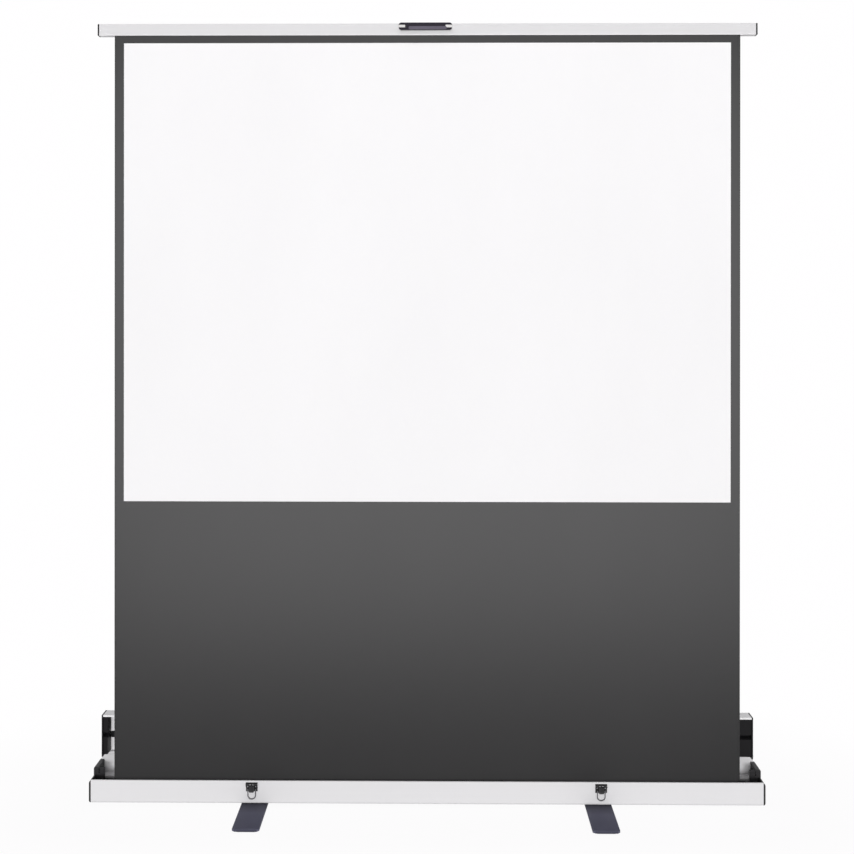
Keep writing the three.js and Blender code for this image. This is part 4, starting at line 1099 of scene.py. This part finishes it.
@dataclass
class Latches:
    """The two draw latches on the front wall."""

    spacing: float = 930.0
    edge: float = 0.3
    wire: float = 1.3
    wire_sides: int = 12
    half: float = 10.2
    bail_axis: Span = (-64.2, 54.0)
    bottom: float = 23.8
    bottom_flat: float = 0.2
    bottom_steps: int = 10
    inner: float = 4.2
    bend: float = 3.2
    bend_steps: int = 6
    seam: float = 0.3
    seam_merge: float = 0.02
    rivets: tuple[Span, ...] = ((-10.4, 56.6), (10.4, 56.6))
    rivet_face: float = -61.6
    rivet_height: float = 1.0
    rivet_radius: float = 1.9
    rivet_sides: int = 20
    rivet_round: float = 0.8
    pin: Span = (-65.5, 62.0)
    barrel: float = 3.2
    knuckle: float = 3.9
    opening: float = 2.6
    opening_depth: float = 2.0
    opening_overrun: float = 1.0
    tongue: float = 7.0
    tip: float = 43.6
    tip_round: float = 3.4
    tip_steps: int = 4
    panel_start: float = 4.0
    panel_inset: float = 2.0
    panel_depth: float = 0.8
    lever_edge: float = 0.25

    def build(self) -> None:
        """Dresses both latches and bends one bail for the two."""
        bail = self.bail()
        for side in Side:
            word = side.word
            middle = side.value * self.spacing / 2
            finished("latch_plate_" + word, BLACK_STEEL, self.edge)
            finished("latch_pin_" + word, ZINC, self.edge)
            self.lever("latch_lever_" + word, middle)
            bail.twin("bail_wire_" + word, (middle, 0.0, 0.0)).dress(BAIL_STEEL, "bail_" + word,
                                                                     "latch_bail_" + word)
            self.plate_rivets("plate_rivets_" + word, middle)
        bail.remove()

    def lever(self, node: str, middle: float) -> None:
        """Copies one lever, opens its barrel where the pin shows, sinks a panel in it and rounds its tip.

        Args:
            node: the solid's name.
            middle: the latch's X, in millimetres.
        """
        lever = Piece.from_solid(node)
        y, z = self.pin
        reach = self.barrel + self.opening_overrun
        for side in Side:
            x = middle + side.value * self.knuckle
            low = (x - self.opening / 2, y - reach, z - self.opening_depth)
            lever.cut(Piece.block("knuckle_gap", low, (x + self.opening / 2, y, z + reach)))
        with lever.edit(Pick.FACES):
            lever.faces(lambda spot, normal: normal.y < -ALONG and abs(spot.x - middle) < self.tongue
                        and self.tip + self.panel_start < spot.z < z)
            bpy.ops.mesh.inset(thickness=self.panel_inset * MM, depth=-self.panel_depth * MM)
        lever.round_edges(lambda spot, way: abs(way.y) > ALONG and spot.z < self.tip + TOUCH
                          and abs(spot.x - middle) > self.tongue - TOUCH, self.tip_round, self.tip_steps)
        lever.soften(self.lever_edge).dress(BLACK_STEEL, body_of(node), node)

    def bail(self) -> Piece:
        """Bends the wire loop about X 0, from a ring that is drawn out and spun.

        Returns:
            The closed wire.
        """
        y, top = self.bail_axis
        low = self.bottom + self.half - self.bottom_flat
        Piece.clear()
        bpy.ops.mesh.primitive_circle_add(vertices=self.wire_sides, radius=self.wire * MM, fill_type="NGON",
                                          location=Vector((self.half, y, low)) * MM)
        wire = Piece("bail_wire", bpy.context.object).settle()
        with wire.edit(Pick.FACES):
            bpy.ops.mesh.select_all(action="SELECT")
            self.draw_out((0.0, 0.0, top - self.bend - low))
            self.turn((self.half - self.bend, y, top - self.bend), self.bend_steps)
            self.draw_out((self.inner - self.half + self.bend, 0.0, 0.0))
        with wire.edit(Pick.FACES):
            wire.faces(lambda middle, normal: abs(middle.z - low) < TOUCH and abs(normal.z) > ALONG)
            self.turn((self.bottom_flat, y, low), self.bottom_steps)
        wire.apply("MIRROR", use_axis=(True, False, False), use_clip=True, use_mirror_merge=True,
                   merge_threshold=self.seam * MM)
        with wire.edit(Pick.CORNERS):
            bpy.ops.mesh.select_all(action="SELECT")
            bpy.ops.mesh.remove_doubles(threshold=self.seam_merge * MM)
            bpy.ops.mesh.normals_make_consistent(inside=False)
        return wire.soften(0.0)

    @staticmethod
    def draw_out(move: Place) -> None:
        """Draws the selected end out by a move in millimetres."""
        bpy.ops.mesh.extrude_region_move(TRANSFORM_OT_translate={"value": Vector(move) * MM})

    @staticmethod
    def turn(centre: Place, steps: int) -> None:
        """Spins the selected end a quarter turn about Y, round a centre in millimetres."""
        bpy.ops.mesh.spin(steps=steps, angle=-math.pi / 2, center=Vector(centre) * MM, axis=(0.0, 1.0, 0.0))

    def plate_rivets(self, name: str, middle: float) -> None:
        """Adds the rivets that hold one plate on the wall.

        Args:
            name: the piece's name.
            middle: the latch's X, in millimetres.
        """
        heads = []
        top = self.rivet_face - self.rivet_height
        for x, z in self.rivets:
            head = Piece.rod("rivet", (middle + x, self.rivet_face, z), (middle + x, top, z),
                             self.rivet_radius, self.rivet_sides)
            heads.append(head.round_edges(lambda spot, _: spot.y < top + TOUCH, self.rivet_round))
        Piece.joined(name, heads).soften(0.0).dress(ZINC, "base")


@dataclass
class Lid:
    """The open lid behind the cloth."""

    half: float = 888.0
    shell_edge: float = 0.4
    cap_edge: float = 0.7
    keeper_edge: float = 0.3
    screw_places: tuple[Span, ...] = ((60.0, 130.0), (60.0, 206.0), (32.0, 206.0))
    screw_radius: float = 3.0
    foam_low: Place = (-871.4, 60.3, 145.2)
    foam_high: Place = (849.4, 66.0, 161.8)
    foam_crown: float = 2.4
    foam_edge: float = 0.3

    def build(self) -> None:
        """Dresses the lid's solids and lays the foam strip in it."""
        finished("lid_shell", LID_METAL_PAINTED_LIGHT, self.shell_edge)
        screws = CapScrews("lid_cap_screws", self.half, self.screw_places, self.screw_radius)
        for side in Side:
            finished("lid_end_cap_" + side.word, BLACK_CAP, self.cap_edge)
            screws.build(side, "lid")
            finished("latch_keeper_" + side.word, BLACK_STEEL, self.keeper_edge)
        self.foam()

    def foam(self) -> None:
        """Models the foam strip with a soft crowned face."""
        strip = Piece.block("foam_strip", self.foam_low, self.foam_high)
        strip.round_edges(lambda middle, _: middle.y < self.foam_low[1] + TOUCH, self.foam_crown, 4)
        strip.soften(self.foam_edge).dress(FOAM, "lid", "lid_foam_strip")


@dataclass
class Scissor:
    """The arms that lift the top bar, with their pins and slide blocks."""

    pins: tuple[str, ...] = ("lower_cross_pin", "right_elbow_pin", "left_elbow_pin", "upper_cross_pin",
                             "base_slider_pin", "top_slider_pin", "top_pivot_pin")
    blocks: tuple[str, ...] = ("base_slider", "top_slider", "top_pivot_block")
    arm_edge: float = 0.5
    pin_edge: float = 0.4
    block_edge: float = 0.5

    def build(self) -> None:
        """Dresses the arms along their own length, then the pins and blocks."""
        for level in ("lower", "upper"):
            finished(level + "_arm_front", RISING_ARM, self.arm_edge)
            finished(level + "_arm_rear", FALLING_ARM, self.arm_edge)
        for pin in self.pins:
            finished(pin, ZINC, self.pin_edge)
        for block in self.blocks:
            finished(block, NYLON, self.block_edge)


@dataclass
class TopBar:
    """The extrusion that the cloth hangs from."""

    half: float = 880.0
    bar_edge: float = 0.35
    rod_edge: float = 0.3
    cap_edge: float = 0.5
    screw_places: tuple[Span, ...] = ((-40.0, 2076.0), (-20.0, 2076.0))
    screw_radius: float = 2.6

    def build(self) -> None:
        """Dresses the bar, its caps and the rod in its groove."""
        finished("top_bar", BAR_METAL_PAINTED_SHADE, self.bar_edge)
        finished("cloth_rod", ZINC, self.rod_edge)
        screws = CapScrews("bar_cap_screws", self.half, self.screw_places, self.screw_radius)
        for side in Side:
            finished("top_bar_end_cap_" + side.word, BLACK_CAP, self.cap_edge)
            screws.build(side, "top")


@dataclass
class Handle:
    """The carrying handle on the front of the top bar."""

    grip_edge: float = 0.8
    lug_edge: float = 0.9
    face: float = -69.0
    # the place and shape of the painted-light band on the grip
    band_ends: Span = (-48.0, 53.0)
    band_low: float = 2071.6
    band_high: float = 2080.4
    band_depth: float = 1.6
    band_stand: float = 0.4
    band_round: float = 3.4
    band_steps: int = 6
    band_edge: float = 0.35

    def build(self) -> None:
        """Dresses the grip and its lugs, and sets a band of painted light into the grip's lower half."""
        finished("handle_grip", GRIP_DARK, self.grip_edge)
        self.band()
        for side in Side:
            finished("handle_bracket_" + side.word, NICKEL, self.lug_edge)

    def band(self) -> None:
        """Models a band of painted light along the grip's lower half: a paler copy of the grip's plastic
        where its underside catches light.
        """
        low = (self.band_ends[0], self.face - self.band_stand, self.band_low)
        high = (self.band_ends[1], self.face + self.band_depth, self.band_high)
        band = Piece.block("grip_band", low, high)
        band.round_edges(lambda middle, way: abs(way.y) > ALONG, self.band_round, self.band_steps)
        band.soften(self.band_edge).dress(GRIP_PAINTED_LIGHT, "top")


@dataclass(frozen=True)
class Softbox:
    """A soft rectangular lamp, in metres and watts, over the whole object or over one piece alone."""

    name: str
    place: Place
    aim: Place
    size: Span
    power: float
    glow: Glow
    only: str = ""

    def hang(self) -> None:
        """Hangs the lamp and aims it."""
        data = bpy.data.lights.new(self.name, "AREA")
        data.shape = "RECTANGLE"
        data.size, data.size_y = self.size
        data.energy = self.power
        lamp = bpy.data.objects.new(self.name, data)
        lamp.visible_diffuse, lamp.visible_glossy = self.glow.value
        if self.only:
            lit = bpy.data.collections.new(self.name)
            lit.objects.link(bpy.data.objects[self.only])
            lamp.light_linking.receiver_collection = lit
        lamp.location = self.place
        lamp.rotation_euler = (Vector(self.aim) - Vector(self.place)).to_track_quat("-Z", "Y").to_euler()
        bpy.context.scene.collection.objects.link(lamp)


@dataclass
class Studio:
    """The floor, the lamps, the pale surroundings and the camera."""

    camera_place: Place = (0.0258, -3.5579, 1.3507)
    camera_turn: Place = (89.956, -0.036, 0.628)
    lens: float = 55.4
    sensor: float = 36.0
    shift: Span = (0.00605, -0.1464)
    white: Colour = (1.0, 0.995, 1.0)
    ambient: float = 0.5
    floor_half: float = 60.0
    floor_grey: Colour = (0.6, 0.598, 0.6)
    stand: Span = (0.9, 0.2)
    fade: Span = (0.05, 0.8)
    shadow: float = 0.04
    lamps: tuple[Softbox, ...] = (
        Softbox("front_softbox", (0.0, -14.0, 1.3), (0.0, 0.0, 1.0), (5.0, 2.4), 1215.0, Glow.SPREAD),
        Softbox("cloth_softbox", (0.0, -1.6, 1.2), (0.0, 0.0, 1.2), (3.2, 2.3), 146.0, Glow.MIRRORED,
                "black_cloth"),
        Softbox("overhead_softbox", (0.0, -0.8, 4.8), (0.0, 0.0, 0.5), (4.0, 2.0), 9.0, Glow.BOTH),
        Softbox("bar_fill", (0.0, -0.1, 1.0), (0.0, -0.03, 2.05), (1.8, 0.1), 16.0, Glow.SPREAD,
                "fine_top_bar"),
    )

    def build(self) -> None:
        """Sets up everything round the object."""
        bpy.context.scene.view_settings.view_transform = "Standard"
        self.camera()
        self.floor()
        self.surroundings()
        for lamp in self.lamps:
            lamp.hang()

    def camera(self) -> None:
        """Stands the camera where the photograph was taken."""
        data = bpy.data.cameras.new("viewer")
        data.lens = self.lens
        data.sensor_width = self.sensor
        data.shift_x, data.shift_y = self.shift
        eye = bpy.data.objects.new("viewer", data)
        eye.location = self.camera_place
        eye.rotation_euler = tuple(math.radians(angle) for angle in self.camera_turn)
        bpy.context.scene.collection.objects.link(eye)
        bpy.context.scene.camera = eye

    def floor(self) -> None:
        """Lays a pale floor that fades to white and keeps the object's shadow."""
        Piece.clear()
        bpy.ops.mesh.primitive_plane_add(size=2 * self.floor_half)
        plane = bpy.context.object
        plane.name = "studio_floor"
        material = bpy.data.materials.new("pale_floor")
        shader = Shader(material)
        spot = shader.node("ShaderNodeTexCoord", output="Object")
        beside = (shader.part(spot, "X").size() - self.stand[0]).most(0.0)
        before = (shader.part(spot, "Y").size() - self.stand[1]).most(0.0)
        away = (beside + before).between(*self.fade)
        share = self.seen(shader) * (1 - self.shadow + self.shadow * away)
        matt = shader.node("ShaderNodeBsdfDiffuse", values={"Color": self.floor_grey})
        white = shader.node("ShaderNodeEmission", values={"Color": self.white, "Strength": 1.0})
        both = shader.node("ShaderNodeMixShader", values={0: share, 1: matt, 2: white})
        shader.node("ShaderNodeOutputMaterial", values={"Surface": both})
        plane.data.materials.append(material)

    def surroundings(self) -> None:
        """Makes the world white where it is seen and soft where it lights."""
        world = bpy.data.worlds.new("studio")
        bpy.context.scene.world = world
        shader = Shader(world)
        strength = self.ambient + (1 - self.ambient) * self.seen(shader)
        sky = shader.node("ShaderNodeBackground", values={"Color": self.white, "Strength": strength})
        shader.node("ShaderNodeOutputWorld", values={"Surface": sky})

    @staticmethod
    def seen(shader: Shader) -> Value:
        """Gives 1 for rays that show the background, straight, by reflection or through something.

        Args:
            shader: the tree that asks.

        Returns:
            1 for such a ray, or else 0.
        """
        camera = shader.node("ShaderNodeLightPath", output="Is Camera Ray")
        glossy = shader.node("ShaderNodeLightPath", output="Is Glossy Ray")
        through = shader.node("ShaderNodeLightPath", output="Is Transmission Ray")
        return camera.most(glossy).most(through)


def main() -> None:
    """Builds each sub-assembly in turn and then the studio."""
    logging.basicConfig(level=logging.INFO, format="%(name)s: %(message)s")
    for assembly in (Case(), Roller(), ScreenCloth(), Feet(), Latches(), Lid(), Scissor(), TopBar(),
                     Handle(), Studio()):
        LOG.info("building %s", type(assembly).__name__)
        assembly.build()


if __name__ == "__main__":
    main()
